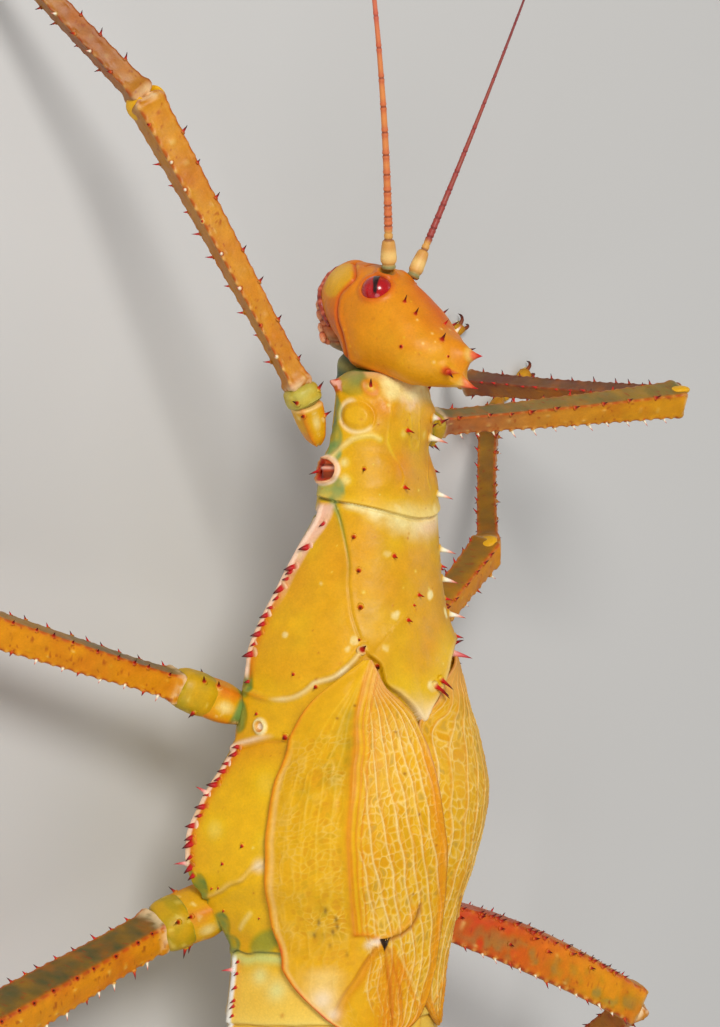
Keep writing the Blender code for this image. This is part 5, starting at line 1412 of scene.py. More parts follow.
FOLD = ((-20.2, 36), (-18.8, 37.5), (-16.2, 40), (-11.3, 43), (-6.4, 43), (-1.6, 41), (2.7, 39.8), (6.7, 38.5), (10.1, 37.6), (13.6, 38), (16.8, 38.2), (24, 38), (31.7, 22))


def along_table(table, y):
    ys, ts = zip(*table)
    return smooth(ys, ts, y)


def cells(a, b, size, seed, stretch=1.0):
    """Irregular cells on a flat map: distance from a point to the nearest cell wall, and a value of its own for each cell."""
    rng = np.random.default_rng(seed)
    table = rng.random((64, 64, 3))
    qa, qb = a / size, b / (size * stretch)
    ia, ib = np.floor(qa).astype(int), np.floor(qb).astype(int)
    first = np.full(a.shape, 9.0)
    second = np.full(a.shape, 9.0)
    value = np.zeros(a.shape)
    for da in (-1, 0, 1):
        for db in (-1, 0, 1):
            ja, jb = ia + da, ib + db
            t = table[ja % 64, jb % 64]
            d = np.hypot(ja + 0.15 + 0.7 * t[..., 0] - qa, jb + 0.15 + 0.7 * t[..., 1] - qb)
            closer = d < first
            second = np.where(closer, first, np.minimum(second, d))
            value = np.where(closer, t[..., 2], value)
            first = np.where(closer, d, first)
    return (second - first) * size * 0.55, value


def wing(side, inner_table, low, high, spacing):
    """Builds one wing. side is +1 on the left, low and high are the clearances of its under and upper faces."""
    spacing = spacing * COARSE
    ys = np.concatenate([np.arange(-20.1, 31.5, spacing), np.linspace(31.5, 31.68, 3)])
    while (len(ys) - 1) % 4:
        ys = np.append(ys, ys[-1] + 0.004)
    inner = along_table(inner_table, ys)
    outer = side * along_table(OUTER, ys)
    columns = int(31.0 / spacing) // 4 * 4
    k = np.linspace(0, 1, columns + 1)
    degrees = inner[:, None] + (outer - inner)[:, None] * k[None, :]
    Y = np.repeat(ys[:, None], columns + 1, axis=1)
    turn = np.radians(degrees)
    arc = np.zeros_like(Y)
    for i, y in enumerate(ys):
        j = min(np.searchsorted(TY, y), len(TY) - 1)
        arc[i] = np.sign(turn[i]) * np.interp(np.abs(turn[i]), T_TURNS[j], T_ARCS[j])
    lobe = on_map(LOBE)
    d, _, w = line_distance(Y, arc, curve_through(lobe, 0.6), 80.0)
    from_lobe = np.where(w > 0, d, 0.0)
    rise = wing_rise(Y, turn)
    ease = ramp(from_lobe, -0.6, 3.6)
    margin = ramp(np.abs(outer[:, None] - degrees), 0, 7)
    tip = ramp(31.9 - Y, 0, 3)
    rise = rise * (0.08 + 0.92 * ease) * (0.35 + 0.65 * margin) * (0.4 + 0.6 * tip)

    # Where a point lies on the wing: v is 0 at the fold and 1 at the inner edge.
    fold_turn = side * along_table(FOLD, Y)
    v = (fold_turn - degrees) * side / np.maximum(np.abs(fold_turn - inner[:, None]), 3.0)
    j_rows = np.clip(np.searchsorted(TY, ys), 0, len(TY) - 1)
    fold_arc = np.array([math.copysign(np.interp(math.radians(abs(f)), T_TURNS[j], T_ARCS[j]), f) for f, j in zip(fold_turn[:, 0], j_rows)])[:, None]
    from_fold = (fold_arc - arc) * side  # millimetres, positive towards the middle of the back
    P = np.stack(trunk_point(Y, turn, 1.0), -1)
    top = from_fold > 0
    before_nick = ramp(17.6 - Y, 0, 1.2)

    relief = 0.05 * fractal(P, 1.2, 2, 91) + 0.12 * fractal(P, 7.0, 2, 92)
    uneven = np.clip(0.78 + 0.95 * fractal(P, 1.7, 3, 43), 0.12, 1.25)
    warp, warp2 = 0.42 * noise(P, 1.25, 11), 0.42 * noise(P, 1.25, 12)
    c = np.zeros(Y.shape + (3,))
    c[:] = lin(232, 176, 58)
    broad = fractal(P, 6.0, 3, 93)
    mix(c, lin(224, 156, 42), 0.6 * ramp(broad, -0.1, 0.6))
    mix(c, lin(240, 196, 92), 0.5 * ramp(-broad, -0.1, 0.5))

    # Upper field: long veins that fan out from the root, with a net of cells between them.
    # The veins sweep from the fold towards the inner edge on their way back.
    sweep = 0.3 * np.clip((Y + 13) / 34, 0, 1) ** 1.2
    fan = v - sweep + 0.012 * np.sin(Y * 0.55 + 3 * v) + 0.006 * np.sin(Y * 1.7 + 9 * v)
    width = np.maximum(np.abs(fold_turn - inner[:, None]) * math.pi / 180 * 21.0, 2.0)
    wobble = 0.35 * noise(P, 2.6, 3)
    wall, value = cells(fan * np.minimum(width, 15.0) + wobble + warp, Y + 0.4 * wobble + warp2 + 0.4 * fan * np.minimum(width, 15.0) + 7.0 * side, 0.86, 5 + side, 1.5)
    upper = ramp(from_fold, 0.9, 1.7) * ramp(np.abs(inner[:, None] - degrees), 0.0, 1.5)
    root = ramp(Y, -17.0, -9.0)
    tint = np.zeros(Y.shape + (3,))
    tint[:] = lin(232, 174, 66)
    mix(tint, lin(224, 158, 50), 0.6 * ((value > 0.28) & (value < 0.52)))
    mix(tint, lin(190, 158, 80), 0.7 * (value > 0.84))
    mix(tint, lin(214, 166, 66), 0.6 * ((value > 0.66) & (value <= 0.84)))
    mix(tint, lin(238, 192, 88), 0.7 * (value < 0.14))
    inner_cell = ramp(wall, 0.05, 0.3)
    mix(c, tint, 0.85 * upper * inner_cell)
    mix(c, lin(245, 206, 116), 0.95 * upper * hump(wall, 0.085 + 0.035 * noise(P, 1.3, 44)) * (0.25 + 0.75 * root) * uneven)
    relief += upper * (0.1 * hump(wall, 0.11) * root * uneven + 0.03 * inner_cell + 0.06 * fractal(P, 2.3, 2, 47))
    mix(c, lin(200, 138, 44), 0.55 * upper * (1 - root))
    strongest = np.zeros(Y.shape)
    for n, (at, strong, wave) in enumerate(((-0.16, 0.8, 0.9), (-0.04, 0.8, 5.0), (0.085, 0.9, 1.9), (0.215, 1.0, 0.0), (0.345, 1.0, 0.6), (0.46, 0.9, 1.4), (0.575, 1.0, 2.0), (0.70, 0.9, 2.9), (0.81, 1.0, 3.7), (0.905, 0.7, 4.4))):
        bend = at + 0.014 * np.sin(0.34 * Y + wave) + 0.008 * np.sin(0.93 * Y + 2.7 * wave) + 0.05 * (at - 0.5) * ramp(-Y, -14, 2)
        bend = bend + sweep
        gap = np.abs(v - bend) * width
        line = hump(gap, 0.125 + 0.03 * noise(P, 2.6, 45 + n)) * strong * ramp(Y, -19.0, -15.0) * np.clip(0.85 + 0.5 * noise(P, 2.3, 60 + n), 0.3, 1.1)
        strongest = np.maximum(strongest, line)
        mix(c, lin(222, 142, 60), 0.4 * upper * hump(np.abs(v - bend - 0.3 / width) * width, 0.22) * strong)
    mix(c, lin(251, 219, 140), 0.95 * upper * strongest * (0.55 + 0.45 * root))
    relief += 0.16 * upper * strongest
    # The stripes close to the fold, and the fold itself.
    near_fold = ramp(from_fold, -0.1, 0.3) * ramp(2.5 - from_fold, 0, 0.8)
    stripes = 0.5 + 0.5 * np.cos((from_fold + 0.13 * noise(P, 2.1, 50)) * 2 * math.pi / 0.66 + 0.3 * np.sin(Y * 0.4))
    mix(c, lin(240, 188, 84), 0.36 * near_fold * ramp(stripes, 0.5, 1.0) * before_nick)
    mix(c, lin(218, 132, 36), 0.5 * near_fold * ramp(1 - stripes, 0.5, 1.0) * before_nick)
    relief += 0.07 * near_fold * stripes * before_nick
    crest = hump(from_fold, 0.42)
    mix(c, lin(222, 132, 30), 0.65 * hump(from_fold, 0.3) * before_nick * ramp(Y, -20, -17))
    relief += 0.34 * hump(from_fold, 0.75) * before_nick * ramp(Y, -19.5, -15) - 0.1 * hump(from_fold + 1.2, 0.6) * before_nick

    # Outer field: a faint fine net that runs towards the costal edge.
    edge_gap = np.abs(outer[:, None] - degrees) * math.pi / 180 * 21.0
    wall, value = cells(-from_fold * 1.0 + 0.7 * noise(P, 2.2, 8), Y + 0.3 * edge_gap + 0.7 * noise(P, 2.3, 9), 1.05, 15 + side, 0.75)
    outer_field = ramp(-from_fold, 0.3, 1.2)
    faint = outer_field * ramp(Y, -15.0, -7.0) * (0.6 + 0.4 * ramp(broad, -0.4, 0.4))
    mix(c, lin(228, 172, 50), 0.85 * outer_field)
    mix(c, lin(218, 156, 42), 0.7 * faint * ((value > 0.3) & (value < 0.6)) * ramp(wall, 0.03, 0.2))
    mix(c, lin(196, 158, 60), 0.5 * faint * (value > 0.88) * ramp(wall, 0.03, 0.2))
    uneven2 = np.clip(0.5 + 1.35 * fractal(P, 2.4, 3, 48), 0.0, 1.2)
    mix(c, lin(245, 206, 110), 0.62 * faint * hump(wall, 0.11) * uneven2)
    crumple = fractal(np.stack([-from_fold * 1.0, (Y + 0.8 * edge_gap) * 0.5, 0 * Y], -1), 1.6, 2, 49)
    crease = hump(crumple, 0.13)
    mix(c, lin(244, 204, 108), 0.34 * faint * crease)
    mix(c, lin(214, 150, 40), 0.3 * faint * ramp(crumple, 0.1, 0.5))
    relief += faint * (0.08 * hump(wall, 0.11) * uneven2 + 0.02 * ramp(wall, 0.05, 0.3) + 0.075 * crease + 0.1 * crumple)
    mix(c, lin(236, 184, 84), 0.5 * faint * hump(edge_gap - 1.6, 1.6))
    # Fine lines that run down from the root across the outer field.
    for at, strong in ((1.7, 0.5), (3.1, 0.6), (4.6, 0.45), (6.4, 0.4)):
        share = np.clip((Y + 20) / 14, 0, 1)
        gap = np.abs(-from_fold - at * share * (1 + 0.02 * (Y + 8)))
        mix(c, lin(244, 198, 92), strong * hump(gap, 0.16) * ramp(Y, -19, -15) * ramp(16 - Y, 0, 12))
        relief += 0.05 * strong * hump(gap, 0.18) * ramp(16 - Y, 0, 12)
    for y, t, r, k in ((-12.1, 45, 1.1, 0.5), (-8.8, 46.5, 1.3, 0.55), (-4.2, 49.5, 1.0, 0.45), (-2.8, 57, 0.9, 0.35), (-6.0, 47, 1.0, 0.4), (4.0, 47, 0.6, 0.3), (13.5, 48, 1.1, 0.35), (17.0, 50, 1.2, 0.35)):
        u = side * float(arc_of(y, t))
        mix(c, lin(128, 138, 74), 0.7 * k * hump(np.hypot((Y - y) * 0.55, arc - u), r) * (0.6 + 0.8 * fractal(P, 0.9, 2, 95)))
    for y, t in ((13.5, 47), (14.7, 44), (17.1, 53), (16.5, 46), (19.7, 42), (15.2, 50), (18.4, 48), (15.8, 44)):
        u = side * float(arc_of(y, t))
        mix(c, lin(108, 78, 36), 0.7 * hump(np.hypot((Y - y) * 0.55 + (arc - u) * 0.4, (arc - u) * 0.9), 0.24))
    for y, t in ((-10.5, 27), (0.5, 17), (-5.0, 24), (11.5, 16), (5.0, 9), (-14.0, 43), (-12.3, 50)):
        u = side * float(arc_of(y, t))
        mix(c, lin(150, 88, 34), 0.75 * hump(np.hypot(Y - y, arc - u), 0.2))

    def line(points, wide, rise_, colour, strong, sided=None):
        path = curve_through(np.stack([[p[0] for p in points], [side * float(arc_of(p[0], p[1])) for p in points]], -1), 0.3)
        gap, run, w_ = line_distance(Y, arc, path, 3.0)
        np.add(relief, rise_ * hump(gap, wide), out=relief)
        mix(c, colour, strong * hump(gap, wide * 1.15))
        return gap, run

    # Creases that meet at the nick, the pale folded tip and the nick itself.
    past = ramp(Y - 16.6, 0, 1.5)
    mix(c, lin(232, 172, 64), 0.4 * past * (1 - top) + 0.0)
    line([(16.8, 38), (17.0, 33), (17.8, 28.5)], 0.3, 0.12, lin(224, 132, 34), 0.7)
    # A sunk crease running forward from the nick, painted dark brown in its groove as painted shade.
    line([(17.9, 26), (17.1, 19), (16.0, 15), (14.6, 13), (13.3, 12.5)], 0.3, -0.22, lin(148, 84, 40), 0.75)
    line([(17.3, 26), (16.4, 19), (15.2, 16), (13.6, 14.5)], 0.5, 0.2, lin(232, 150, 60), 0.5)
    u_mid = side * float(arc_of(24.5, 21))
    mix(c, lin(224, 140, 42), 0.75 * ramp(Y, 19.4, 22) * hump(arc - u_mid, 2.3) * (0.65 + 0.6 * np.abs(np.sin(arc * 5.2 + 0.3 * Y))))
    line([(18.6, 28), (20.8, 33), (23.3, 36), (25.3, 40), (28.6, 43)], 0.62, 0.16, lin(222, 146, 38), 0.85)
    line([(18.9, 30.5), (21.0, 35), (23.4, 38.6), (25.4, 42), (28.5, 45.2)], 0.2, -0.14, lin(170, 104, 36), 0.55)
    line([(18.7, 26.2), (21.6, 25), (25.4, 21), (30.0, 18)], 0.24, -0.16, lin(190, 104, 34), 0.6)
    line([(19.2, 24.5), (22.0, 21.5), (25.8, 16), (30.0, 13)], 0.2, 0.1, lin(206, 112, 40), 0.5)
    line([(19.0, 23), (21.5, 19), (23.8, 14), (27.9, 6)], 0.22, 0.12, lin(226, 140, 44), 0.6)
    line([(19.6, 20.5), (22.2, 15.5), (25.0, 9.0), (28.6, 3)], 0.16, 0.08, lin(248, 208, 126), 0.45)
    line([(24.0, -1.5), (26.4, -1), (28.0, 1), (29.8, 4.5), (31.0, 11)], 0.26, -0.12, lin(130, 60, 34), 0.7)
    mix(c, lin(246, 212, 128), 0.7 * ramp(Y, 20.5, 23) * hump(arc - side * arc_of(ys, np.full_like(ys, 51.0))[:, None], 2.6))
    for y, t, r in ((18.0, 29.4, 0.5), (18.0, 31.4, 0.45), (18.4, 33.0, 0.6), (17.8, 29.8, 0.4), (26.0, 50, 1.4), (28.0, 45, 0.9)):
        mix(c, lin(252, 232, 190), 0.6 * hump(np.hypot(Y - y, arc - side * float(arc_of(y, t))), r))
    u = side * float(arc_of(18.2, 27.0))
    down = Y - 17.55
    nick = np.minimum(down, 0.78 * (1 - down / 2.0) - np.abs(arc - u + side * 0.2 * down))
    mix(c, BLACK, 0.97 * ramp(nick, -0.06, 0.1))
    relief -= 0.2 * ramp(nick, -0.05, 0.2)

    # Costal edge: a thick rim, orange, then rosy red towards the tip.
    rim = hump(edge_gap - 0.15, 0.34)
    relief += 0.14 * rim
    mix(c, lin(224, 132, 34), 0.8 * rim * ramp(Y, -18, -12))
    mix(c, lin(208, 84, 58), 0.85 * rim * ramp(Y, 16.0, 20.0) * (0.7 + 0.6 * fractal(P, 1.2, 2, 97)))
    mix(c, lin(246, 200, 120), 0.6 * hump(edge_gap - 0.75, 0.3) * ramp(Y, -10, -4))
    # Inner edge: an orange band and a fine dark rim.
    inner_gap = np.abs(degrees - inner[:, None]) * math.pi / 180 * 23.0
    band = ramp(2.6 - inner_gap, 0, 1.6) * ramp(Y, -13, -4)
    mix(c, lin(224, 134, 36), 0.55 * band)
    mix(c, lin(236, 156, 60), 0.6 * hump(inner_gap - 1.0, 0.3) * ramp(Y, -12, -4))
    mix(c, lin(164, 84, 40), 0.55 * hump(inner_gap, 0.2) * (0.6 + 0.7 * fractal(P, 1.6, 2, 98)))
    mix(c, lin(240, 170, 130), 0.4 * hump(inner_gap, 0.4) * ramp(-Y, -2, 8))
    relief += 0.08 * hump(inner_gap - 0.3, 0.3)
    mix(c, lin(240, 180, 110), 0.3 * ramp(-Y, 13.5, 16) * top)
    if side < 0:
        mix(c, lin(224, 152, 38), 0.85 * ramp(5.4 - from_fold, 0, 1.8) * ramp(Y, -12, -5))
    c *= (1 + 0.07 * fractal(P, 0.7, 2, 99))[..., None]
    relief *= ramp(np.minimum(edge_gap, inner_gap), -0.3, 0.3)

    slim = far_slim(Y, degrees)
    shape = trunk_point(Y, turn, high + rise - slim)
    upper_face = np.stack(shape, -1)
    normals_ = grid_normals(upper_face, False)
    if (normals_[..., 2]).sum() < 0:
        normals_ = -normals_
    upper_face = upper_face + normals_ * relief[..., None]
    # The under face is coarser; a zipper of triangles joins the two along the rim.
    pick = (slice(None, None, 4), slice(None, None, 4))
    under_face = np.stack(trunk_point(Y[pick], turn[pick], low + rise[pick] - slim[pick]), -1)
    n, m = Y.shape
    p, q = under_face.shape[:2]
    shell = Shell()
    i, j = np.meshgrid(np.arange(n - 1), np.arange(m - 1), indexing="ij")
    quads = [np.stack([i * m + j, i * m + j + 1, (i + 1) * m + j + 1, (i + 1) * m + j], -1).reshape(-1, 4)]
    i, j = np.meshgrid(np.arange(p - 1), np.arange(q - 1), indexing="ij")
    base_index = n * m
    quads.append(base_index + np.stack([i * q + j, (i + 1) * q + j, (i + 1) * q + j + 1, i * q + j + 1], -1).reshape(-1, 4))
    fine_loop = [(0, j) for j in range(m - 1)] + [(i, m - 1) for i in range(n - 1)] + [(n - 1, j) for j in range(m - 1, 0, -1)] + [(i, 0) for i in range(n - 1, 0, -1)]
    fine_loop = [a * m + b for a, b in fine_loop]
    rough_loop = [(0, j) for j in range(q - 1)] + [(i, q - 1) for i in range(p - 1)] + [(p - 1, j) for j in range(q - 1, 0, -1)] + [(i, 0) for i in range(p - 1, 0, -1)]
    rough_loop = [base_index + a * q + b for a, b in rough_loop]
    tris = []
    for a in range(len(rough_loop)):
        c0, c1 = rough_loop[a], rough_loop[(a + 1) % len(rough_loop)]
        f = [fine_loop[(4 * a + b) % len(fine_loop)] for b in range(5)]
        tris += [(c0, f[1], f[0]), (c0, f[2], f[1]), (c0, c1, f[2]), (c1, f[3], f[2]), (c1, f[4], f[3])]
    points = np.concatenate([upper_face.reshape(-1, 3), under_face.reshape(-1, 3)])
    colours = np.concatenate([c.reshape(-1, 3), np.broadcast_to(lin(226, 170, 84), (p * q, 3))])
    shell.add(points, np.concatenate(quads), np.array(tris), colours, 0.5)
    return shell


wings = {}
for side, tag, table, low, high, spacing in ((1, "L", INNER_LEFT, 0.62, 0.95, 0.112), (-1, "R", INNER_RIGHT, 0.2, 0.5, 0.14)):
    wings[tag] = wing(side, table, low, high, spacing)

# ---------------------------------------------------------------- eyes, feelers, mouth, tail
eyes = {}
for s, tag in ((1, "L"), (-1, "R")):
    p, way = head_outward(EYE_AT[0], math.radians(s * EYE_AT[1]))
    centre = p - way * (EYE_SUNK + (0.0 if s > 0 else 0.35))
    count = int(72 / COARSE)
    a = math.pi * np.arange(1, count) / count
    b = 2 * math.pi * np.arange(2 * count) / (2 * count)
    A, B = np.meshgrid(a, b, indexing="ij")
    ahead = np.array((0.0, -1.0, 0.0))
    up = unit(ahead - way * (ahead @ way))
    side_ = np.cross(way, up)
    local = np.stack([np.cos(A), np.sin(A) * np.cos(B), np.sin(A) * np.sin(B)], -1)
    grid = centre + local[..., :1] * way * 2.2 + local[..., 1:2] * up * 2.15 + local[..., 2:] * side_ * 2.25
    # Fine facets over the ball, an upright dark streak, and a paler ring at the rim.
    wall, value = cells(local[..., 1] * 2.0 / np.maximum(local[..., 0] + 0.55, 0.35), local[..., 2] * 2.0 / np.maximum(local[..., 0] + 0.55, 0.35), 0.16, 77)
    c = np.zeros(A.shape + (3,))
    c[:] = lin(176, 9, 26)
    mix(c, lin(226, 36, 52), 0.5 * ramp(fractal(grid, 1.4, 2, 5), -0.2, 0.6))
    mix(c, lin(120, 4, 18), 0.6 * hump(wall, 0.02) + 0.8 * ramp(0.42 - local[..., 0], 0, 0.3))
    streak = 0.15 + 0.08 * ramp(local[..., 1], -0.4, 0.3) + 0.03 * fractal(grid, 0.9, 2, 8)
    mix(c, BLACK, 0.97 * ramp(streak - np.abs(local[..., 2] + 0.06 * s), 0, 0.08) * ramp(local[..., 1] + 0.9, 0, 0.25) * ramp(0.98 - local[..., 1], 0, 0.1))
    mix(c, lin(216, 70, 40), 0.5 * ramp(0.2 - local[..., 0], 0, 0.2))
    quads, tris = ring_faces(count - 1, 2 * count)
    ball = Shell()
    ball.add(np.concatenate([grid.reshape(-1, 3), [centre + way * 2.2, centre - way * 2.2]]), quads, tris, np.concatenate([c.reshape(-1, 3), [lin(24, 6, 10), lin(90, 10, 16)]]), 1.0)
    eyes[tag] = ball


def feeler_path(side, t):
    root, _ = head_outward(FEELER_SEAT[0] + (0.0 if side > 0 else 0.8), math.radians(side * FEELER_SEAT[1]))
    run = np.asarray(t) * FEELER_LENGTH
    out = ((0.275 if side > 0 else 0.335) * run + 0.0006 * run**2) * side
    return root + np.stack([out, -0.915 * run - 0.55, 0.225 * run + 0.35 - 0.0012 * run**2], -1)


feelers = {}
for s, tag in ((1, "L"), (-1, "R")):
    joints = np.array((0.0, 4.3, 5.2, 6.3, 7.6, 9.2, 11.2, 13.6, 16.4, 19.6, 23.2, 27.2, 31.4, 35.8, 40.4, 45.2, 50.0, 54.4, 58.6))
    run = np.unique(np.concatenate([np.arange(0.0, FEELER_LENGTH, 0.13 * COARSE), [FEELER_LENGTH - 0.02, FEELER_LENGTH]]))
    half = np.interp(run, (0.0, 0.35, 0.7, 1.0, 1.5, 2.4, 3.4, 4.0, 4.3, 4.5, 4.9, 5.3, 14.0, 30.0, 57.6, 58.0), (0.95, 1.02, 0.86, 1.08, 1.14, 1.08, 0.98, 0.86, 0.6, 0.6, 0.62, 0.56, 0.47, 0.35, 0.22, 0.05))
    if s < 0:
        half = half * np.interp(run, (0, 4.3, 6, 30, 58), (0.9, 0.9, 0.86, 0.66, 0.5))
    gap = np.abs(run[:, None] - joints[None, :]).min(1)
    tail = ramp(run, 5.2, 6.2)
    half = half * (1 - 0.16 * hump(gap, 0.1) + 0.12 * tail * hump(gap - 0.3, 0.22) + 0.015 * tail * np.sin(run * 30))
    index = np.searchsorted(joints, run)
    shade = np.zeros((len(run), 3))
    shade[:] = lin(214, 158, 84)
    mix(shade, lin(236, 196, 122), hump(run - 2.2, 1.0))
    mix(shade, lin(112, 126, 82), 0.85 * hump(run - 0.35, 0.4))
    mix(shade, lin(110, 40, 30), 0.85 * hump(run - 4.3, 0.2))
    mix(shade, lin(196, 132, 60), 0.5 * hump(run - 3.3, 0.7))
    # The right feeler's thread is painted a darker wine red than the left's: a painted shade copy of the same thread.
    flagellum = lin(220, 134, 76) if s > 0 else lin(138, 40, 44)
    mix(shade, flagellum, 0.9 * tail)
    mix(shade, lin(198, 88, 60) if s > 0 else lin(160, 58, 56), 0.6 * tail * hump(gap - 0.45, 0.5))
    mix(shade, lin(112, 26, 24), 0.85 * tail * hump(gap, 0.14))
    mix(shade, lin(196, 84, 84) if s > 0 else lin(112, 30, 38), 0.75 * ramp(run, 24, 44))
    shell = Shell()
    path = feeler_path(s, run / FEELER_LENGTH)
    worm(shell, path, half, 20, lambda t: shade, 0.45)
    # Short bristles along the thread.
    for k in range(int(90)):
        at = RANDOM.uniform(5.5, 50)
        i = int(np.argmin(np.abs(run - at)))
        way = unit(RANDOM.normal(size=3))
        along = unit(path[min(i + 1, len(path) - 1)] - path[i - 1])
        way = unit(way - along * (way @ along) + along * 0.5)
        thorn(shell, path[i] + way * half[i] * 0.8, way, 0.28, 0.035, "small", sides=7)
    feelers[tag] = shell

# Mouth: labium, two pairs of jointed palps, and the tips of the jaws.
mouth = Shell()
LIP = ((-70.0, 1.4, 29.0, 27.6), (-68.2, 2.2, 30.2, 27.4), (-66.0, 2.5, 31.4, 27.8), (-64.0, 2.2, 32.4, 29.1), (-62.7, 1.3, 33.2, 30.9))
ys_, ws_, tops_, lows_ = (np.array(k, float) for k in zip(*LIP))
at = np.linspace(ys_[0], ys_[-1], int(60 / COARSE))
turn = 2 * math.pi * np.arange(int(48 / COARSE)) / int(48 / COARSE)
W, TOP, LOW = smooth(ys_, ws_, at), smooth(ys_, tops_, at), smooth(ys_, lows_, at)
closing = np.sqrt(np.clip(1 - (1 - np.clip(np.minimum(at - at[0], at[-1] - at) / 0.9, 0, 1)) ** 2 * 0.93, 0, 1))
grid = np.stack([(W * closing)[:, None] * np.sin(turn)[None], np.repeat(at[:, None], len(turn), 1), ((TOP + LOW) / 2)[:, None] + ((TOP - LOW) / 2 * closing)[:, None] * np.cos(turn)[None]], -1)
g_n = grid_normals(grid, True)
lines = np.abs(((grid[..., 1] + 70) % 2.3) - 1.15)
grid = grid + g_n * (0.05 * fractal(grid, 0.7, 2, 3) - 0.16 * hump(lines, 0.14) - 0.2 * hump(grid[..., 0], 0.16) * (g_n[..., 2] < 0))[..., None]
c = np.zeros(grid.shape)
c[:] = lin(214, 122, 74)
mix(c, lin(120, 128, 84), 0.7 * ramp(grid[..., 1], -66.5, -63.5))
mix(c, lin(236, 170, 120), 0.5 * ramp(fractal(grid, 1.2, 2, 4), 0, 0.6))
mix(c, lin(150, 60, 40), 0.6 * hump(lines, 0.16))
tube(grid, c, 0.5, mouth)
PALP = lambda t: np.stack([np.interp(t, (0, 0.15, 0.32, 0.36, 0.4, 0.62, 0.66, 0.7, 0.95, 1.0), k) for k in zip(lin(196, 120, 84), lin(236, 160, 116), lin(232, 140, 96), lin(150, 60, 40), lin(238, 168, 124), lin(226, 128, 84), lin(150, 58, 40), lin(240, 176, 132), lin(232, 150, 110), lin(170, 80, 60))], -1)
for s in (1, -1):
    for path, size in (
        (((1.0, -67.4, 29.6), (2.0, -67.0, 29.3), (2.5, -67.5, 29.0), (2.5, -69.0, 28.6), (2.2, -70.3, 28.5)), 0.54),
        (((0.9, -64.8, 30.4), (1.9, -64.3, 29.8), (2.5, -64.4, 29.5), (2.4, -65.8, 28.9), (2.0, -67.0, 28.4)), 0.46),
    ):
        line_ = curve_through([(s * p[0], p[1], p[2]) for p in path], 0.09 * COARSE)
        t = np.linspace(0, 1, len(line_))
        swell = np.interp(t, (0, 0.1, 0.28, 0.36, 0.5, 0.62, 0.68, 0.85, 0.97, 1.0), (0.7, 0.9, 1.05, 0.72, 1.05, 1.0, 0.7, 1.08, 0.8, 0.2))
        worm(mouth, line_, size * swell, 22, PALP, 0.5)
    # The dark chewing edge of each jaw.
    jaw = curve_through([(s * 2.6, -72.2, 31.4), (s * 1.7, -73.1, 30.2), (s * 0.6, -73.2, 29.4), (s * 0.25, -72.4, 28.9)], 0.09 * COARSE)
    worm(mouth, jaw, np.interp(np.linspace(0, 1, len(jaw)), (0, 0.3, 0.8, 1), (0.55, 0.7, 0.45, 0.1)), 20, lambda t: np.stack([np.interp(t, (0, 0.5, 1), k) for k in zip(lin(196, 96, 44), lin(120, 40, 24), BLACK)], -1), 0.8)

# The reddened rim of the mouth: it borders the jaws and the upper lip, and runs down to the palps.
for s in (1, -1):
    rim_path = []
    for at, t in ((-0.7, 2), (-0.75, 25), (-0.75, 50), (-0.7, 75), (-0.4, 98), (0.8, 116), (2.6, 128), (4.6, 136)):
        q, away = head_outward(at, math.radians(t * s))
        rim_path.append(q + away * (0.35 if t < 90 else 0.15))
    rim_path = curve_through(rim_path, 0.1 * COARSE)
    rt = np.linspace(0, 1, len(rim_path))
    knots = 1 + 0.1 * np.sin(rt * 31) + 0.06 * np.sin(rt * 57 + 1)
    worm(mouth, rim_path, np.interp(rt, (0, 0.1, 0.5, 0.8, 1.0), (0.3, 0.38, 0.46, 0.5, 0.25)) * knots, 24, lambda t: np.stack([np.interp(0.6 * np.sin(t * 23 + 3 * np.sin(t * 9)) + 0.4 * np.sin(t * 71), (-1, -0.3, 0.5, 1), (lin(112, 34, 26)[q], lin(150, 52, 34)[q], lin(172, 74, 48)[q], lin(206, 116, 88)[q])) for q in range(3)], -1), 0.5)

# Tail: the long pointed beak of two blades, lofted out of the last ring.
BEAK = ((66.4, 6.2, 36.2, 22.9), (68.3, 6.0, 35.4, 22.6), (71.0, 4.6, 33.6, 23.2), (74.5, 3.1, 31.0, 23.6), (78.0, 1.9, 28.4, 23.9), (80.4, 0.9, 26.3, 24.05), (80.9, 0.25, 25.6, 24.5))
ys_, ws_, tops_, lows_ = (np.array(k, float) for k in zip(*BEAK))
at = np.linspace(ys_[0], ys_[-1], int(90 / COARSE))
turn = 2 * math.pi * np.arange(int(110 / COARSE)) / int(110 / COARSE)
W, TOP, LOW = smooth(ys_, ws_, at), smooth(ys_, tops_, at), smooth(ys_, lows_, at)
grid = np.stack([W[:, None] * np.sin(turn)[None], np.repeat(at[:, None], len(turn), 1), ((TOP + LOW) / 2)[:, None] + ((TOP - LOW) / 2)[:, None] * np.cos(turn)[None]], -1)
g_n = grid_normals(grid, True)
share = (grid[..., 2] - LOW[:, None]) / (TOP - LOW)[:, None]
split = hump(share - 0.36, 0.05)
keel = hump(turn[None] * (turn[None] < math.pi) + (2 * math.pi - turn[None]) * (turn[None] >= math.pi), 0.14)
grid = grid + g_n * (0.06 * fractal(grid, 1.1, 2, 3) - 0.3 * split + 0.16 * keel)[..., None]
c = np.zeros(grid.shape)
c[:] = lin(226, 166, 56)
mix(c, lin(214, 124, 40), 0.8 * ramp(grid[..., 1], 70, 79))
mix(c, lin(122, 128, 66), 0.6 * ramp(0.34 - share, 0, 0.2))
mix(c, lin(120, 62, 28), 0.75 * split)
mix(c, lin(110, 48, 24), 0.8 * ramp(grid[..., 1], 78.5, 80.6))
c *= (1 + 0.1 * fractal(grid, 1.0, 3, 6))[..., None]
tube(grid, c, 0.5, skin)

# ---------------------------------------------------------------- pieces from the shells


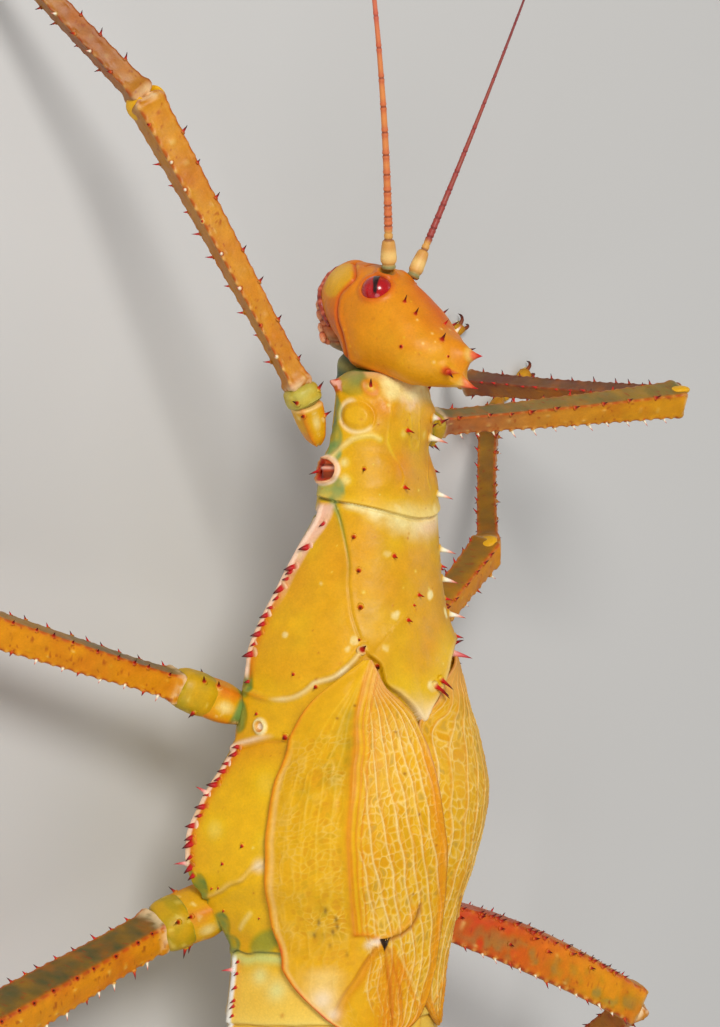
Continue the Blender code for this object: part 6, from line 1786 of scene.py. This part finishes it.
def shader(name, rough=0.42, bump=0.25, grain=0.00035, coat=0.0, coat_rough=0.2, specular=0.5, speckle=0.06, subsurface=0.0, sheen=0.0):
    """Painted cuticle: the point colours, broken up by fine noise, with pits and a waxy gloss that varies."""
    made = bpy.data.materials.new(name)
    made.use_nodes = True
    tree = made.node_tree
    nodes, links = tree.nodes, tree.links
    bsdf = nodes["Principled BSDF"]
    tint = nodes.new("ShaderNodeAttribute")
    tint.attribute_name = "tint"
    place = nodes.new("ShaderNodeTexCoord")
    fine = nodes.new("ShaderNodeTexNoise")
    fine.inputs["Scale"].default_value = 1 / grain
    fine.inputs["Detail"].default_value = 3.0
    links.new(place.outputs["Object"], fine.inputs["Vector"])
    wide = nodes.new("ShaderNodeTexNoise")
    wide.inputs["Scale"].default_value = 420.0
    wide.inputs["Detail"].default_value = 4.0
    links.new(place.outputs["Object"], wide.inputs["Vector"])
    level = nodes.new("ShaderNodeMapRange")
    level.inputs["To Min"].default_value = 1 - speckle * 2.2
    level.inputs["To Max"].default_value = 1 + speckle * 1.6
    links.new(fine.outputs["Fac"], level.inputs["Value"])
    level2 = nodes.new("ShaderNodeMapRange")
    level2.inputs["To Min"].default_value = 1 - speckle * 1.4
    level2.inputs["To Max"].default_value = 1 + speckle
    links.new(wide.outputs["Fac"], level2.inputs["Value"])
    both = nodes.new("ShaderNodeMath")
    both.operation = "MULTIPLY"
    links.new(level.outputs["Result"], both.inputs[0])
    links.new(level2.outputs["Result"], both.inputs[1])
    scaled = nodes.new("ShaderNodeVectorMath")
    scaled.operation = "SCALE"
    links.new(tint.outputs["Color"], scaled.inputs[0])
    links.new(both.outputs[0], scaled.inputs["Scale"])
    links.new(scaled.outputs["Vector"], bsdf.inputs["Base Color"])
    rough_map = nodes.new("ShaderNodeMapRange")
    rough_map.inputs["From Min"].default_value = 0.3
    rough_map.inputs["From Max"].default_value = 0.7
    rough_map.inputs["To Min"].default_value = rough - 0.08
    rough_map.inputs["To Max"].default_value = rough + 0.14
    links.new(wide.outputs["Fac"], rough_map.inputs["Value"])
    links.new(rough_map.outputs["Result"], bsdf.inputs["Roughness"])
    dent = nodes.new("ShaderNodeBump")
    dent.inputs["Strength"].default_value = bump
    dent.inputs["Distance"].default_value = 0.00006
    links.new(fine.outputs["Fac"], dent.inputs["Height"])
    links.new(dent.outputs["Normal"], bsdf.inputs["Normal"])
    bsdf.inputs["Specular IOR Level"].default_value = specular
    bsdf.inputs["Coat Weight"].default_value = coat
    bsdf.inputs["Coat Roughness"].default_value = coat_rough
    if subsurface:
        bsdf.inputs["Subsurface Weight"].default_value = subsurface
        bsdf.inputs["Subsurface Radius"].default_value = (1.0, 0.45, 0.12)
        bsdf.inputs["Subsurface Scale"].default_value = 0.0009
    return made


skin_object = skin.object("skin", 1.12, (0.94, 1.13, 1.14))
skin_object.data.materials.append(shader("cuticle", 0.46, 0.5, 0.0003, 0.04, 0.3, 0.32, 0.075))
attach(skin_object, "root")
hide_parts(*[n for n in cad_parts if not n.startswith(("eye", "antenna", "forewing", "mouthparts"))])

tegmen = shader("tegmen", 0.5, 0.25, 0.00026, 0.0, 0.35, 0.28, speckle=0.05)
for tag, shell in wings.items():
    piece = shell.object("wing_" + tag, 1.12, (0.915, 0.93, 1.2))
    piece.data.materials.append(tegmen)
    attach(piece, "root")
    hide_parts("forewing_" + tag)
eye_material = shader("eye", 0.22, 0.08, 0.00012, 0.45, 0.04, 0.35, 0.05)
for tag, shell in eyes.items():
    piece = shell.object("eyeball_" + tag)
    piece.data.materials.append(eye_material)
    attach(piece, "root")
    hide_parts("eye_" + tag)
feeler_material = shader("feeler", 0.5, 0.25, 0.0002)
for tag, shell in feelers.items():
    piece = shell.object("feeler_" + tag)
    piece.data.materials.append(feeler_material)
    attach(piece, "root")
    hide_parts("antenna_" + tag)
piece = mouth.object("mouth")
piece.data.materials.append(shader("mouth", 0.45, 0.25, 0.00025, 0.2))
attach(piece, "root")
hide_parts("mouthparts")

# ---------------------------------------------------------------- floor, light and camera
floor_data = bpy.data.meshes.new("floor")
floor_data.from_pydata([(-6, -6, -0.0001), (6, -6, -0.0001), (6, 6, -0.0001), (-6, 6, -0.0001)], [], [(0, 1, 2, 3)])
floor = bpy.data.objects.new("floor", floor_data)
bpy.context.scene.collection.objects.link(floor)
paper = bpy.data.materials.new("floor")
paper.use_nodes = True
paper.node_tree.nodes["Principled BSDF"].inputs["Base Color"].default_value = (0.60, 0.595, 0.585, 1)
paper.node_tree.nodes["Principled BSDF"].inputs["Roughness"].default_value = 0.9
floor_data.materials.append(paper)

world = bpy.data.worlds.new("studio")
bpy.context.scene.world = world
world.use_nodes = True
world.node_tree.nodes["Background"].inputs["Color"].default_value = (1.0, 0.99, 0.97, 1)
world.node_tree.nodes["Background"].inputs["Strength"].default_value = 0.32


def lamp(name, place_, target, size, power, colour=(1, 1, 1)):
    data = bpy.data.lights.new(name, "AREA")
    data.shape = "DISK"
    data.size = size
    data.energy = power
    data.color = colour
    thing = bpy.data.objects.new(name, data)
    bpy.context.scene.collection.objects.link(thing)
    thing.location = place_
    way = np.asarray(target, float) - np.asarray(place_, float)
    from mathutils import Vector
    thing.rotation_euler = Vector(way).to_track_quat("-Z", "Y").to_euler()
    return thing


MIDDLE = (-0.0, 0.0, 0.03)
lamp("key", (0.42, -0.30, 0.62), MIDDLE, 0.28, 4.3, (1.0, 0.98, 0.95))
lamp("fill", (0.55, 0.50, 0.45), MIDDLE, 0.5, 1.6, (0.96, 0.98, 1.0))
lamp("rim", (-0.55, -0.15, 0.5), MIDDLE, 0.35, 0.8, (1.0, 0.98, 0.95))

camera_data = bpy.data.cameras.new("camera")
camera = bpy.data.objects.new("camera", camera_data)
bpy.context.scene.collection.objects.link(camera)
camera_data.sensor_fit = "VERTICAL"
camera_data.sensor_height = 36.0
camera_data.sensor_width = 36.0
camera_data.lens = 94.57
camera_data.clip_start = 0.01
camera_data.clip_end = 20.0
from mathutils import Matrix

right, up_, back_ = (-0.6428, 0.0, 0.7660), (0.0, -1.0, 0.0), (0.7660, 0.0, 0.6428)
camera.matrix_world = Matrix((
    (right[0], up_[0], back_[0], 0.28183),
    (right[1], up_[1], back_[1], -0.0116),
    (right[2], up_[2], back_[2], 0.27826),
    (0.0, 0.0, 0.0, 1.0),
))
bpy.context.scene.camera = camera

scene = bpy.context.scene
scene.view_settings.view_transform = "Standard"
scene.view_settings.look = "None"
scene.view_settings.exposure = 0.0
